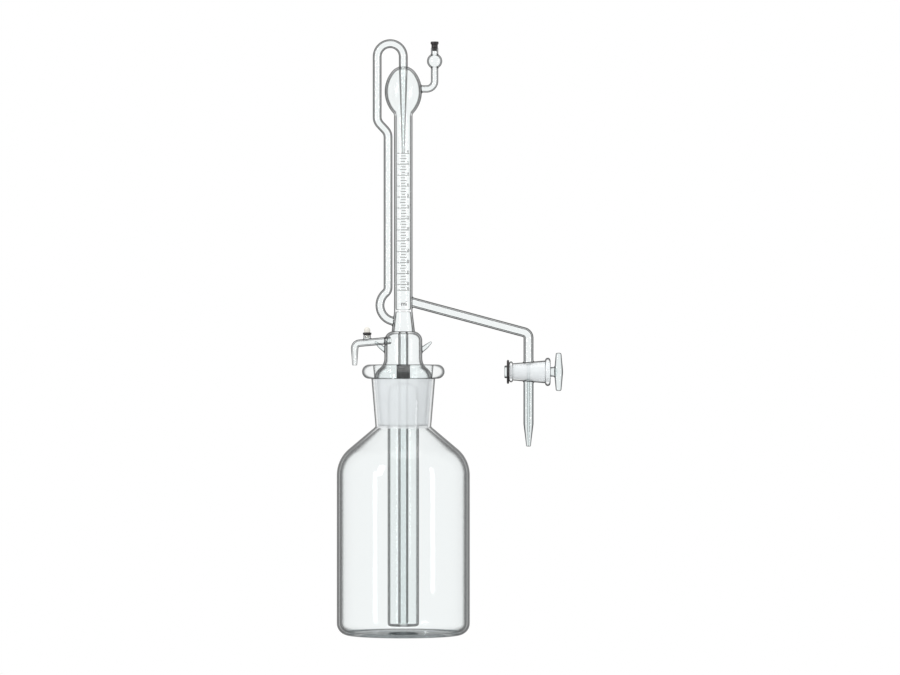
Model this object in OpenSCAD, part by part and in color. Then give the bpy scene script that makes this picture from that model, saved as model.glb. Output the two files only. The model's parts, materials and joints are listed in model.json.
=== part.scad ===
// Automatic zero burette on a reservoir bottle. Liquid pushed up out of the bottle
// fills the graduated tube from the top, and what lies above the zero mark runs
// back by itself, so every filling starts at zero.
// Millimetres. +Z is up, +X runs along the delivery arm, and the origin is the
// centre of the ring that the bottle stands on.

/* [Reservoir bottle] */
// Outside diameter of the bottle
bottle_d = 133; // [124:1:144]
// Glass thickness of the bottle
bottle_wall = 3; // [2:0.5:4]
// Height at which the straight side wall ends
side_h = 160; // [130:5:200]
// Radius of the rounded heel
heel_r = 12; // [8:1:16]
// Rise of the push-up in the middle of the base
punt_rise = 2; // [1:0.5:4]
// Width of the flat ring that the bottle stands on
rest_ring_w = 8; // [5:1:12]
// Radius of the rounded shoulder
shoulder_r = 34.3; // [28:0.1:40]
// Angle that the rounded shoulder turns through
shoulder_turn = 50; // [44:1:56]

/* [Neck and ground joint] */
// Outside diameter of the neck right under its lip
neck_d = 63.8; // [60:0.2:68]
// Height of the neck from the shoulder to the lip
neck_h = 48; // [42:1:56]
// Glass thickness of the neck
neck_wall = 2.9; // [2.4:0.1:3.4]
// Length over which the joint grows by one unit in diameter
joint_taper = 6; // [5:0.5:10]
// Film gap between the ground cone and its socket
joint_clear = 0.05; // [0.02:0.01:0.1]
// Outside diameter of the lip
lip_d = 82.6; // [76:0.2:90]
// Height of the lip
lip_h = 14.2; // [10:0.2:16]
// Rounding of the lip's inner edge
lip_mouth_r = 2; // [1:0.5:3]
// Glass thickness of the ground cone
cone_wall = 2.4; // [1.8:0.1:3]
// Height of the cone's lower edge above the foot of the neck
cone_foot_gap = 1; // [0.5:0.5:4]

/* [Burette head] */
// Outside diameter of the bell
bell_d = 38; // [34:0.5:42]
// Glass thickness of the bell
bell_wall = 1.8; // [1.4:0.1:2.4]
// Height of the bell above the underside of the lip
bell_h = 47.3; // [44:0.1:56]
// Height over which the bell flares out to the cone
flare_h = 20.7; // [16:0.1:24]
// Radius of the bell's rounded shoulder
bell_shoulder_r = 9.6; // [8:0.1:12]
// Outside diameter of the stem's foot on the bell
stem_foot_d = 23.4; // [21:0.2:26]
// Height of the stem between the bell and the graduated tube
stem_h = 19.8; // [17:0.1:26]
// Glass thickness of the stem
stem_wall = 1.6; // [1.2:0.1:2]

/* [Spring hooks] */
// Length of a hook from the bell's wall to its tip
hook_len = 11; // [8:0.5:15]
// Diameter of a hook at its root
hook_root_d = 6; // [4:0.2:7]
// Diameter of a hook at its tip
hook_tip_d = 2.4; // [1.6:0.2:3]
// Angle of a hook above the horizontal
hook_rise = 40; // [20:5:60]
// Height of a hook's root above the underside of the lip
hook_at = 29; // [26:0.5:33]

/* [Lift tube, coupling and dip tube] */
// Outside diameter of the lift tube and the dip tube
lift_d = 9.9; // [9:0.1:11]
// Glass thickness of the lift tube, the dip tube and its jacket
lift_wall = 1.4; // [1:0.1:1.8]
// Radius of the rounded mouth at the top of the lift tube
lift_mouth_r = 2; // [1:0.5:2.5]
// Outside diameter of the rubber coupling
coupling_d = 13.5; // [12.5:0.5:16]
// Length of the rubber coupling
coupling_h = 14.2; // [10:0.2:16]
// Gap between the two tube ends inside the coupling
tube_end_gap = 0.5; // [0.2:0.1:0.8]
// Outside diameter of the jacket round the dip tube
jacket_d = 31.3; // [26:0.1:34]
// Rounding of the jacket's lower end
jacket_end_r = 3; // [2:0.5:4]
// Gap between the jacket's top and the coupling
jacket_gap = 4; // [2:0.5:8]
// Height of the dip tube's end above the middle of the bottle's floor
dip_floor_gap = 4; // [2:0.5:10]

/* [Graduated tube] */
// Outside diameter of the graduated tube
tube_d = 18.5; // [17:0.1:20]
// Glass thickness of the graduated tube and the overflow bulb
tube_wall = 1.6; // [1.2:0.1:2]
// Length from the zero mark to the last mark
scale_len = 136.7; // [120:0.1:200]
// Length of tube below the last mark
below_marks = 21.4; // [18:0.1:30]
// Length of tube above the zero mark
above_marks = 38; // [32:0.5:50]

/* [Overflow bulb and filling jet] */
// Outside diameter of the overflow bulb
bulb_d = 37.3; // [32:0.1:42]
// Height of the overflow bulb, tip to tip of its oval
bulb_h = 50.8; // [44:0.1:58]
// Radius of the bulb's ends as a share of its half diameter
bulb_end_share = 0.8; // [0.7:0.01:0.9]
// Radius of the hollow curve between the bulb and the tube
bulb_blend_r = 4; // [2:0.5:6]
// Height of the filling leg above the bulb
leg_h = 9.4; // [6:0.1:16]
// Diameter of the filling jet at its tip
jet_tip_d = 2.4; // [2:0.1:3.2]
// Bore of the filling jet at its tip
jet_tip_bore = 1.2; // [0.8:0.1:1.4]

/* [Riser] */
// Outside diameter of the riser
riser_d = 8.8; // [7.6:0.1:9.4]
// Glass thickness of the riser and the filling jet
riser_wall = 1.2; // [0.9:0.1:1.5]
// Gap between the riser and the graduated tube
riser_gap = 1.6; // [1:0.1:3]
// Gap between the riser and the overflow bulb
riser_bulb_gap = 3.1; // [2:0.1:6]
// Angle of the jog that leads the riser past the bulb
jog_turn = 43; // [35:1:50]
// Bend radius of the jog
jog_r = 10.6; // [8:0.2:12]
// Depth of the jog's upper end below the top of the graduated tube
jog_drop = 1.6; // [0:0.2:6]
// Bend radius of the lower loop
loop_r = 16.2; // [14:0.1:18]
// How far the lower loop swings out past the riser
loop_out = 8.1; // [7:0.1:10]
// Bend radius where the riser leads into the lower loop
ease_r = 7.7; // [6:0.1:9]

/* [Guard tube and stopper] */
// Outside diameter of the guard tube
guard_d = 7.3; // [6.6:0.1:8]
// Glass thickness of the guard tube
guard_wall = 1.1; // [0.8:0.1:1.3]
// Height of the guard tube above the middle of the overflow bulb
guard_up = 2.6; // [0:0.1:6]
// Bend radius of the guard tube
guard_bend_r = 7.9; // [6:0.1:9]
// Gap between the overflow bulb and the guard tube's own bulb
guard_gap = 5; // [4:0.5:10]
// Length of the upright guard tube from its bend to its bulb
guard_rise = 19.9; // [16:0.1:30]
// Outside diameter of the guard tube's bulb
guard_ball_d = 15.3; // [13:0.1:18]
// Radius of the hollow curves beside the guard tube's bulb
guard_blend_r = 2; // [1:0.5:3]
// Height of the guard tube's mouth above the middle of its bulb
guard_neck = 13.2; // [11:0.1:18]
// Diameter of the stopper's collar
stopper_d = 6.4; // [6:0.1:7]
// Height of the stopper's collar
stopper_collar_h = 3.3; // [2:0.1:5]
// Diameter of the stopper's head
stopper_head_d = 8; // [7.4:0.1:10]
// Height of the stopper's head
stopper_head_h = 3; // [2:0.1:5]
// Depth of the stopper inside the guard tube
stopper_depth = 3; // [2:0.5:5.5]
// Vent hole through the stopper
stopper_bore = 1.2; // [0.8:0.1:1.6]

/* [Delivery arm] */
// Outside diameter of the delivery arm
arm_d = 10; // [9:0.1:11]
// Glass thickness of the delivery arm
arm_wall = 1.4; // [1:0.1:1.8]
// Fall of the arm below the horizontal
arm_fall = 15; // [10:1:20]
// Distance of the arm's upright end from the graduated tube's axis
arm_reach = 125.2; // [110:0.2:150]
// Height of the arm's axis above the tube's floor, at the tube's axis
arm_root = 11.8; // [11:0.1:14]
// Bend radius of the arm
arm_bend_r = 6; // [5.5:0.1:8]
// Height from the corner of the arm's axis down to the stopcock's axis
arm_drop = 38.5; // [30:0.5:50]

/* [Stopcock] */
// Length of the barrel from its small end to the arm's axis
barrel_small_side = 19.3; // [17:0.1:24]
// Length of the barrel from the arm's axis to its large end
barrel_large_side = 22; // [19:0.1:26]
// Outside diameter of the barrel at its small bead
barrel_small_d = 17.2; // [16:0.1:19]
// Outside diameter of the barrel at its large bead
barrel_large_d = 22.8; // [21.5:0.1:24]
// Glass thickness of the barrel
barrel_wall = 1.6; // [1.3:0.1:2]
// Width of the small bead
small_bead_w = 3.7; // [3:0.1:4.5]
// Height of the small bead over the barrel
small_bead_h = 1.9; // [1.2:0.1:2.5]
// Width of the large bead
large_bead_w = 5.5; // [4.5:0.1:6.5]
// Height of the large bead over the barrel
large_bead_h = 2.8; // [2:0.1:3.5]
// Film gap between the key and the barrel
key_clear = 0.04; // [0.02:0.01:0.08]
// Bore through the key and the barrel
key_bore = 3; // [2:0.1:4]
// How far the key stands out of the small end
key_end = 4.8; // [4:0.1:6]
// Diameter of the key's neck
key_neck_d = 9.6; // [8:0.2:11]
// Distance from the barrel's large end to the middle of the handle
handle_off = 8.1; // [7.6:0.1:12]
// Length of the T handle
handle_len = 38.1; // [32:0.1:46]
// Diameter of the T handle in its middle
handle_d = 9.1; // [8:0.1:10]
// Diameter of the T handle near its ends
handle_tip_d = 5.8; // [5:0.1:7]
// Rounding of the handle's ends
handle_end_r = 1.8; // [1:0.1:2.4]
// Diameter of the retaining washer
washer_d = 24; // [20:0.5:28]
// Thickness of the retaining washer
washer_t = 2.3; // [1.8:0.1:2.8]
// Depth of the washer's groove in the key
groove_depth = 0.9; // [0.6:0.1:1.2]
// Gap between the washer and the barrel
washer_clear = 0.08; // [0.05:0.01:0.1]

/* [Delivery jet] */
// Outside diameter of the delivery jet
outlet_d = 10.1; // [9:0.1:11]
// Length of the jet's straight part below the stopcock's axis
outlet_straight = 52.2; // [40:0.1:70]
// Length of the jet's drawn-out tip
outlet_taper = 22.4; // [16:0.1:30]
// Diameter of the jet at its tip
outlet_tip_d = 4.6; // [4:0.1:6]
// Bore of the jet at its tip
outlet_tip_bore = 1; // [0.8:0.1:1.4]

/* [Air nozzle] */
// Angle of the nozzle to the front of the delivery arm's plane
nozzle_turn = 18; // [16:1:40]
// Outside diameter of the nozzle
nozzle_d = 7.4; // [6.6:0.1:8]
// Glass thickness of the nozzle
nozzle_wall = 1.3; // [1:0.1:1.5]
// Height of the nozzle above the underside of the lip, at the bell's wall
nozzle_at = 37.9; // [37:0.1:39]
// Fall of the nozzle below the horizontal
nozzle_fall = 5; // [2:1:8]
// Length of the nozzle inside the bell's wall
nozzle_inside = 5.5; // [4:0.5:7]
// Distance of the nozzle's tail from the bell's axis
nozzle_reach = 50.8; // [47:0.1:60]
// Bend radius of the nozzle
nozzle_bend_r = 5.1; // [4.4:0.1:6]
// Length of the nozzle's tapered tail
tail_len = 17; // [14:0.5:20]
// Diameter of the tail at its tip
tail_tip_d = 4.8; // [4.4:0.1:6]
// Distance of the vent branch from the bell's axis
branch_at = 37.8; // [34:0.1:40]
// Height of the vent branch above the nozzle's axis
branch_h = 7.6; // [6:0.1:10]

/* [Vent cap] */
// Diameter of the vent cap
cap_d = 6.2; // [5.6:0.1:7]
// Height of the vent cap above its ring
cap_h = 5.4; // [4:0.1:8]
// Depth of the vent cap inside the branch
cap_depth = 3; // [2:0.1:3.5]
// Diameter of the ring under the cap
ring_d = 8.6; // [8.2:0.1:10]
// Height of the ring under the cap
ring_h = 2.3; // [1.5:0.1:3]
// Gap round a part that lifts out of a glass tube
plug_clear = 0.1; // [0.05:0.01:0.15]

/* [Hidden] */

$fn = 72;
// Turn of one chord where an outline follows an arc, in degrees
arc_step = 6;
// Least number of chords in an arc
arc_least = 4;
// Overrun of every cut past the face that it opens
cut = 1;
// Radius of the fillet where one glass tube is fused to another
weld_r = 1.2;
// Turn of that fillet, which stops just short of running out flat
weld_turn = 84;
// How much thinner a tube is drawn where it is bent, in radius
bend_draw = 0.05;
// Lap of a straight stretch over the end of a bend
bend_lap = 0.3;

glass = [0.80, 0.88, 0.90, 0.45];
ground_glass = [0.90, 0.91, 0.91, 0.85];
black_rubber = [0.14, 0.12, 0.13];
white_rubber = [0.93, 0.93, 0.90];

// Levels, from the bench upwards
bottle_r = bottle_d / 2;
floor_top = punt_rise + bottle_wall;
ring_in_r = bottle_r - heel_r - rest_ring_w;
shoulder_c = [bottle_r - shoulder_r, side_h];
slope = 90 - shoulder_turn;
neck_foot_r = neck_d / 2 - neck_h / joint_taper / 2;
neck_foot_z = on_slope(shoulder_r, neck_foot_r);
lip_z = neck_foot_z + neck_h;
rim_z = lip_z + lip_h;
cone_foot_z = neck_foot_z + cone_foot_gap;
bell_top_z = lip_z + bell_h;
tube_floor_z = bell_top_z + stem_h;
zero_z = tube_floor_z + below_marks + scale_len;
tube_top_z = zero_z + above_marks;

// Radii that several pieces share
bell_r = bell_d / 2;
stem_foot_r = stem_foot_d / 2;
lift_r = lift_d / 2;
lift_bore_r = lift_r - lift_wall;
tube_r = tube_d / 2;
riser_r = riser_d / 2;
riser_bore_r = riser_r - riser_wall;
guard_r = guard_d / 2;
arm_r = arm_d / 2;
nozzle_r = nozzle_d / 2;
nozzle_bore_r = nozzle_r - nozzle_wall;

// Height of the shoulder's slope where its half width is r, for an arc of radius a
function on_slope(a, r) =
    shoulder_c.y + a * sin(shoulder_turn)
    + (shoulder_c.x + a * cos(shoulder_turn) - r) * tan(slope);

// Radius of the neck's ground socket, and of the cone in it, at height z
function socket_r(z) = neck_d / 2 - neck_wall + (z - lip_z) / joint_taper / 2;
function cone_r(z) = socket_r(z) - joint_clear;

// Points of an arc about c from angle a to angle b
function arc(c, r, a, b) =
    let (n = max(arc_least, ceil(abs(b - a) / arc_step)))
    [for (i = [0:n]) let (t = a + (b - a) * i / n) c + r * [cos(t), sin(t)]];

// Points of an S that leads from half width r0 at height z0 to r1 at z0 + h
function flare(r0, r1, z0, h) =
    let (turn = 2 * atan((r0 - r1) / h), a = h / 2 / sin(turn))
    concat(
        arc([r0 - a, z0], a, 0, turn),
        arc([r1 + a, z0 + h], a, 180 + turn, 180)
    );

// The same list from its end to its start
function back(points) = [for (i = [len(points) - 1:-1:0]) points[i]];

// Straight stretch of tube from p to q in the XZ plane, with a lap beyond either end
module run(p, q, r, bore, lap_p, lap_q) {
    translate([p.x, 0, p.y])
        rotate([0, atan2(q.x - p.x, q.y - p.y), 0])
            translate([0, 0, -lap_p])
                linear_extrude(lap_p + norm(q - p) + lap_q) ring(r, bore);
}

// Bent stretch of tube about c in the XZ plane, from angle a to angle b
module bend(c, big, r, a, b, bore) {
    translate([c.x, 0, c.y])
        rotate([90, 0, 0]) rotate([0, 0, a])
            rotate_extrude(angle = b - a) translate([big, 0]) ring(r, bore);
}

module ring(r, bore) {
    difference() {
        circle(r);
        if (bore > 0) circle(bore);
    }
}

// Stretches of one tube, in turn straight, [p, q], and bent, [c, radius, a, b]
module route(stretches, r, bore = 0) {
    last = len(stretches) - 1;
    for (i = [0:last]) {
        s = stretches[i];
        if (len(s) == 2)
            run(s[0], s[1], r, bore, i > 0 ? bend_lap : 0, i < last ? bend_lap : 0);
        else
            bend(s[0], s[1], r - bend_draw, s[2], s[3], max(bore - bend_draw, 0));
    }
}

// Fillet round a tube of radius r that leaves a wall at height 0
module weld(r, deep) {
    rotate_extrude()
        polygon(concat(
            [[0, -deep], [r + weld_r, -deep]],
            arc([r + weld_r, weld_r], weld_r, 270, 270 - weld_turn),
            [[0, weld_r * (1 - cos(weld_turn))]]
        ));
}

// Turns a shape made along Z to lie along X
module along_x() {
    rotate([0, 90, 0]) children();
}

// Reservoir bottle

function punt(z) =
    let (a = (ring_in_r ^ 2 + punt_rise ^ 2) / punt_rise / 2)
    arc([0, z + punt_rise - a], a, 90, 90 - asin(ring_in_r / a));

module reservoir_bottle() color(glass) {
    heel_c = [bottle_r - heel_r, heel_r];
    inner_r = shoulder_r - bottle_wall;
    socket_foot_r = socket_r(neck_foot_z);
    lip_c = [lip_d / 2 - lip_h / 2, lip_z + lip_h / 2];
    mouth_c = [socket_r(rim_z) + lip_mouth_r, rim_z - lip_mouth_r];
    rotate_extrude()
        polygon(concat(
            punt(0),
            arc(heel_c, heel_r, -90, 0),
            arc(shoulder_c, shoulder_r, 0, shoulder_turn),
            [[neck_foot_r, neck_foot_z], [neck_d / 2, lip_z]],
            arc(lip_c, lip_h / 2, -90, 90),
            arc(mouth_c, lip_mouth_r, 90, 180),
            [[socket_foot_r, on_slope(inner_r, socket_foot_r)]],
            arc(shoulder_c, inner_r, shoulder_turn, 0),
            arc(heel_c, heel_r - bottle_wall, 0, -90),
            back(punt(bottle_wall))
        ));
}

// Ground cone, bell and stem of the head

module ground_cone() color(ground_glass) {
    rotate_extrude()
        polygon([
            [cone_r(cone_foot_z), cone_foot_z],
            [cone_r(lip_z), lip_z],
            [cone_r(lip_z) - cone_wall, lip_z],
            [cone_r(cone_foot_z) - cone_wall, cone_foot_z]
        ]);
}

bell_corner_r = bell_r - bell_shoulder_r;
bell_corner_z = bell_top_z - sqrt(bell_shoulder_r ^ 2 - (stem_foot_r - bell_corner_r) ^ 2);
bell_corner = [bell_corner_r, bell_corner_z];
lift_mouth = lift_r + lift_mouth_r;

// Outline of the bell's wall with its outer face set in by o
function bell_outline(o, foot_r) =
    concat(
        flare(foot_r, bell_r - o, lip_z, flare_h),
        arc(bell_corner, bell_shoulder_r - o, 0,
            asin((bell_top_z - o - bell_corner_z) / (bell_shoulder_r - o)))
    );

module bell_envelope() {
    rotate_extrude()
        polygon(concat(
            [[0, lip_z]],
            bell_outline(0, cone_r(lip_z)),
            [[0, bell_top_z]]
        ));
}

module head_bell() color(glass) {
    difference() {
        rotate_extrude()
            polygon(concat(
                bell_outline(0, cone_r(lip_z)),
                [[lift_mouth, bell_top_z], [lift_mouth, bell_top_z - bell_wall]],
                back(bell_outline(bell_wall, cone_r(lip_z) - cone_wall))
            ));
        nozzle_place() route(nozzle_route(nozzle_in), nozzle_r);
    }
}

// Stands the spring hook on the bell's right side
module hook() {
    root = [bell_r, lip_z + hook_at];
    difference() {
        translate([root.x, 0, root.y]) rotate([0, 90 - hook_rise, 0]) {
            translate([0, 0, -hook_root_d / 2])
                cylinder(h = hook_len + hook_root_d / 2, d1 = hook_root_d, d2 = hook_tip_d);
            translate([0, 0, hook_len]) sphere(d = hook_tip_d);
        }
        bell_envelope();
    }
}

module right_hook() color(glass) hook();

module left_hook() color(glass) mirror([1, 0, 0]) hook();

module stem_envelope() {
    translate([0, 0, bell_top_z])
        cylinder(h = stem_h, r1 = stem_foot_r, r2 = tube_r);
}

module head_stem() color(glass) {
    difference() {
        rotate_extrude()
            polygon([
                [stem_foot_r, bell_top_z], [tube_r, tube_floor_z],
                [tube_r - stem_wall, tube_floor_z], [stem_foot_r - stem_wall, bell_top_z]
            ]);
        route(loop_route, riser_bore_r);
    }
}

// Lift tube, coupling and dip tube

coupling_mid_z = lip_z + coupling_h / 2;
dip_z = floor_top + dip_floor_gap;
jacket_r = jacket_d / 2;
jacket_dome_r = jacket_r - lift_r;
jacket_dome_z = lip_z - jacket_gap - jacket_dome_r;

module lift_tube() color(glass) {
    rotate_extrude()
        polygon(concat(
            arc([lift_mouth, bell_top_z - lift_mouth_r - lift_wall],
                lift_mouth_r + lift_wall, 90, 180),
            [
                [lift_bore_r, coupling_mid_z + tube_end_gap / 2],
                [lift_r, coupling_mid_z + tube_end_gap / 2]
            ],
            arc([lift_mouth, bell_top_z - bell_wall - lift_mouth_r], lift_mouth_r, 180, 90)
        ));
}

module coupling_sleeve() color(black_rubber) {
    translate([0, 0, lip_z]) linear_extrude(coupling_h) ring(coupling_d / 2, lift_r);
}

module dip_tube() color(glass) {
    foot_z = dip_z + jacket_end_r;
    translate([0, 0, foot_z])
        linear_extrude(coupling_mid_z - tube_end_gap / 2 - foot_z) ring(lift_r, lift_bore_r);
}

// The jacket is sealed to the dip tube at both ends
module dip_jacket() color(glass) {
    inner_c = [lift_bore_r + jacket_end_r, dip_z + jacket_end_r];
    outer_c = [jacket_r - jacket_end_r, dip_z + jacket_end_r];
    dome_c = [lift_r, jacket_dome_z];
    rotate_extrude()
        polygon(concat(
            arc(inner_c, jacket_end_r, 180, 270),
            arc(outer_c, jacket_end_r, 270, 360),
            arc(dome_c, jacket_dome_r, 0, 90),
            arc(dome_c, jacket_dome_r - lift_wall, 90, 0),
            arc(outer_c, jacket_end_r - lift_wall, 360, 270),
            arc(inner_c, jacket_end_r - lift_wall, 270, 180)
        ));
}

// Graduated tube and overflow bulb

module graduated_tube() color(glass) {
    difference() {
        rotate_extrude()
            polygon([
                [0, tube_floor_z], [tube_r, tube_floor_z],
                [tube_r, tube_top_z], [tube_r - tube_wall, tube_top_z],
                [tube_r - tube_wall, tube_floor_z + tube_wall], [0, tube_floor_z + tube_wall]
            ]);
        route([arm_route[0]], arm_r - arm_wall);
    }
}

bulb_r = bulb_d / 2;
bulb_end_r = bulb_r * bulb_end_share;
bulb_end_z = bulb_h / 2 - bulb_end_r;
bulb_side_r = (bulb_r ^ 2 - bulb_end_r ^ 2 + bulb_end_z ^ 2) / (bulb_r - bulb_end_r) / 2;
bulb_side_turn = atan2(bulb_end_z, bulb_side_r - bulb_r);
bulb_blend = [
    tube_r + bulb_blend_r,
    sqrt((bulb_end_r + bulb_blend_r) ^ 2 - (tube_r + bulb_blend_r) ^ 2)
];
bulb_blend_turn = atan2(bulb_blend.y, bulb_blend.x);
bulb_z = tube_top_z + bulb_end_z + bulb_blend.y;
bulb_tip_z = bulb_z + bulb_h / 2;
leg_top_z = bulb_tip_z + leg_h;

// Outline of the oval bulb with its outer face set in by o
function bulb_outline(o) =
    let (end_r = bulb_end_r - o, low = [0, bulb_z - bulb_end_z], high = [0, bulb_z + bulb_end_z])
    concat(
        arc([bulb_blend.x, tube_top_z], bulb_blend_r + o, 180, 180 - bulb_blend_turn),
        arc(low, end_r, -bulb_blend_turn, -bulb_side_turn),
        arc([bulb_r - bulb_side_r, bulb_z], bulb_side_r - o, -bulb_side_turn, bulb_side_turn),
        arc(high, end_r, bulb_side_turn, acos(riser_r / end_r))
    );

module bulb_envelope() {
    rotate_extrude()
        polygon(concat([[0, tube_top_z]], bulb_outline(0), [[0, bulb_tip_z]]));
}

module overflow_bulb() color(glass) {
    difference() {
        rotate_extrude()
            polygon(concat(bulb_outline(0), back(bulb_outline(tube_wall))));
        route([guard_route[0]], guard_r - guard_wall);
    }
}

// Riser, from the stem up past the bulb and over into it

riser_x = -(tube_r + riser_gap + riser_r);
leg_x = -(bulb_r + riser_bulb_gap + riser_r);
loop_c = [riser_x - loop_out + loop_r, tube_floor_z - stem_h / 2 + loop_r];
ease_x = riser_x - ease_r;
ease_c = [ease_x, loop_c.y + sqrt((ease_r + loop_r) ^ 2 - (loop_c.x - ease_x) ^ 2)];
ease_turn = atan2(ease_c.y - loop_c.y, loop_c.x - ease_c.x);
// The loop turns on to here, inside the stem
loop_end = 268;
loop_route = [[loop_c, loop_r, 180 - ease_turn, loop_end]];

jog_top_z = tube_top_z - jog_drop;
jog_arc = jog_r * [1 - cos(jog_turn), sin(jog_turn)];
jog_slant = (riser_x - leg_x - 2 * jog_arc.x) / sin(jog_turn);
jog_foot_z = jog_top_z - 2 * jog_arc.y - jog_slant * cos(jog_turn);
jog_low = [riser_x - jog_arc.x, jog_foot_z + jog_arc.y];
jog_high = [leg_x + jog_arc.x, jog_top_z - jog_arc.y];
riser_route = [
    [ease_c, ease_r, -ease_turn, 0],
    [[riser_x, ease_c.y], [riser_x, jog_foot_z]],
    [[riser_x - jog_r, jog_foot_z], jog_r, 0, jog_turn],
    [jog_low, jog_high],
    [[leg_x + jog_r, jog_top_z], jog_r, 180, 180 + jog_turn],
    [[leg_x, jog_top_z], [leg_x, leg_top_z]]
];

module riser_loop() color(glass) {
    difference() {
        route(loop_route, riser_r, riser_bore_r);
        stem_envelope();
    }
}

module riser_tube() color(glass) route(riser_route, riser_r, riser_bore_r);

module siphon_bend() color(glass)
    route([[[leg_x / 2, leg_top_z], -leg_x / 2, 0, 180]], riser_r, riser_bore_r);

module filling_jet() color(glass) {
    seal_z = bulb_z + bulb_end_z + sqrt(bulb_end_r ^ 2 - riser_r ^ 2);
    rotate_extrude()
        polygon([
            [riser_r, leg_top_z], [riser_r, seal_z], [jet_tip_d / 2, zero_z],
            [jet_tip_bore / 2, zero_z], [riser_bore_r, seal_z], [riser_bore_r, leg_top_z]
        ]);
}

// Guard tube on the overflow bulb, with its stopper

guard_ball_r = guard_ball_d / 2;
guard_x = bulb_r + guard_gap + guard_ball_r;
guard_z = bulb_z + guard_up;
guard_ball_z = guard_z + guard_bend_r + guard_rise;
guard_blend = [
    guard_r + guard_blend_r,
    sqrt((guard_ball_r + guard_blend_r) ^ 2 - (guard_r + guard_blend_r) ^ 2)
];
guard_blend_turn = atan2(guard_blend.y, guard_blend.x);
guard_mouth_z = guard_ball_z + guard_neck;
guard_route = [
    [[bulb_r / 2, guard_z], [guard_x - guard_bend_r, guard_z]],
    [[guard_x - guard_bend_r, guard_z + guard_bend_r], guard_bend_r, 270, 360],
    [[guard_x, guard_z + guard_bend_r], [guard_x, guard_ball_z - guard_blend.y]]
];

module guard_arm() color(glass) {
    difference() {
        route(guard_route, guard_r, guard_r - guard_wall);
        bulb_envelope();
    }
}

function guard_outline(o) =
    concat(
        arc([guard_blend.x, -guard_blend.y], guard_blend_r + o, 180, 180 - guard_blend_turn),
        arc([0, 0], guard_ball_r - o, -guard_blend_turn, guard_blend_turn),
        arc(guard_blend, guard_blend_r + o, 180 + guard_blend_turn, 180),
        [[guard_r - o, guard_neck]]
    );

module guard_bulb() color(glass) {
    translate([guard_x, 0, guard_ball_z])
        rotate_extrude()
            polygon(concat(guard_outline(0), back(guard_outline(guard_wall))));
}

module vent_stopper() color(black_rubber) {
    shank_r = guard_r - guard_wall - plug_clear;
    head_z = stopper_collar_h + stopper_head_h;
    translate([guard_x, 0, guard_mouth_z])
        rotate_extrude()
            polygon([
                [stopper_bore / 2, -stopper_depth], [shank_r, -stopper_depth], [shank_r, 0],
                [stopper_d / 2, 0], [stopper_d / 2, stopper_collar_h],
                [stopper_head_d / 2, head_z], [stopper_bore / 2, head_z]
            ]);
}

// Air nozzle on the bell, with its vent cap

function nozzle_z(u) = lip_z + nozzle_at - (u - bell_r) * tan(nozzle_fall);

nozzle_bend_u = nozzle_reach - nozzle_bend_r * (1 - sin(nozzle_fall));
tail_z = nozzle_z(nozzle_bend_u) - nozzle_bend_r * cos(nozzle_fall);
nozzle_in = bell_r - nozzle_inside;

// Run of the nozzle from an inner end at distance u from the bell's axis
function nozzle_route(u) = [
    [[u, nozzle_z(u)], [nozzle_bend_u, nozzle_z(nozzle_bend_u)]],
    [[nozzle_reach - nozzle_bend_r, tail_z], nozzle_bend_r, 0, 90 - nozzle_fall]
];
branch_z = nozzle_z(branch_at);
branch_top_z = branch_z + branch_h;

// Turns the nozzle's own plane to its place on the bell
module nozzle_place() {
    rotate([0, 0, 180 + nozzle_turn]) children();
}

// The nozzle's tail and branch, to a given outside or bore, with an overrun at both mouths
module nozzle_ends(r, tip_r, over) {
    translate([nozzle_reach, 0, tail_z - tail_len])
        rotate_extrude()
            polygon([
                [0, -over], [tip_r, -over], [tip_r, 0], [r, tail_len],
                [r, tail_len + bend_lap], [0, tail_len + bend_lap]
            ]);
    translate([branch_at, 0, branch_z]) cylinder(h = branch_h + over, r = r);
}

module air_nozzle() color(glass) {
    nozzle_place()
        difference() {
            union() {
                route(nozzle_route(nozzle_in), nozzle_r);
                nozzle_ends(nozzle_r, tail_tip_d / 2, 0);
                translate([branch_at, 0, branch_z + nozzle_r]) weld(nozzle_r, nozzle_r);
            }
            route(nozzle_route(nozzle_in - cut), nozzle_bore_r);
            nozzle_ends(nozzle_bore_r, tail_tip_d / 2 - nozzle_wall, cut);
        }
}

module vent_place() {
    nozzle_place() translate([branch_at, 0, branch_top_z]) children();
}

module vent_ring() color(black_rubber)
    vent_place() linear_extrude(ring_h) ring(ring_d / 2, nozzle_bore_r - plug_clear);

module vent_cap() color(white_rubber) {
    cap_r = cap_d / 2;
    shank_r = nozzle_bore_r - plug_clear;
    vent_place()
        rotate_extrude()
            polygon(concat(
                [[0, -cap_depth], [shank_r, -cap_depth], [shank_r, ring_h], [cap_r, ring_h]],
                arc([0, ring_h + cap_h - cap_r], cap_r, 0, 90)
            ));
}

// Delivery arm, stopcock and delivery jet

arm_start_z = tube_floor_z + arm_root;
arm_corner = [arm_reach, arm_start_z - arm_reach * tan(arm_fall)];
arm_tangent = arm_bend_r * tan((90 - arm_fall) / 2);
cock_z = arm_corner.y - arm_drop;
arm_route = [
    [[0, arm_start_z], arm_corner - arm_tangent * [cos(arm_fall), -sin(arm_fall)]],
    [[arm_reach - arm_bend_r, arm_corner.y - arm_tangent], arm_bend_r, 0, 90 - arm_fall],
    [[arm_reach, cock_z], [arm_reach, arm_corner.y - arm_tangent]]
];

// The barrel's own frame: its axis is Z, and the arm meets it at height 0
small_x = -barrel_small_side;
large_x = barrel_large_side;
body_small_x = small_x + small_bead_w;
body_large_x = large_x - large_bead_w;
barrel_taper = (barrel_large_d - barrel_small_d) / (body_large_x - body_small_x) / 2;

// Outside radius of the barrel's tapered body, carried on past both beads
function barrel_r(x) = barrel_small_d / 2 + (x - body_small_x) * barrel_taper;

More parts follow.
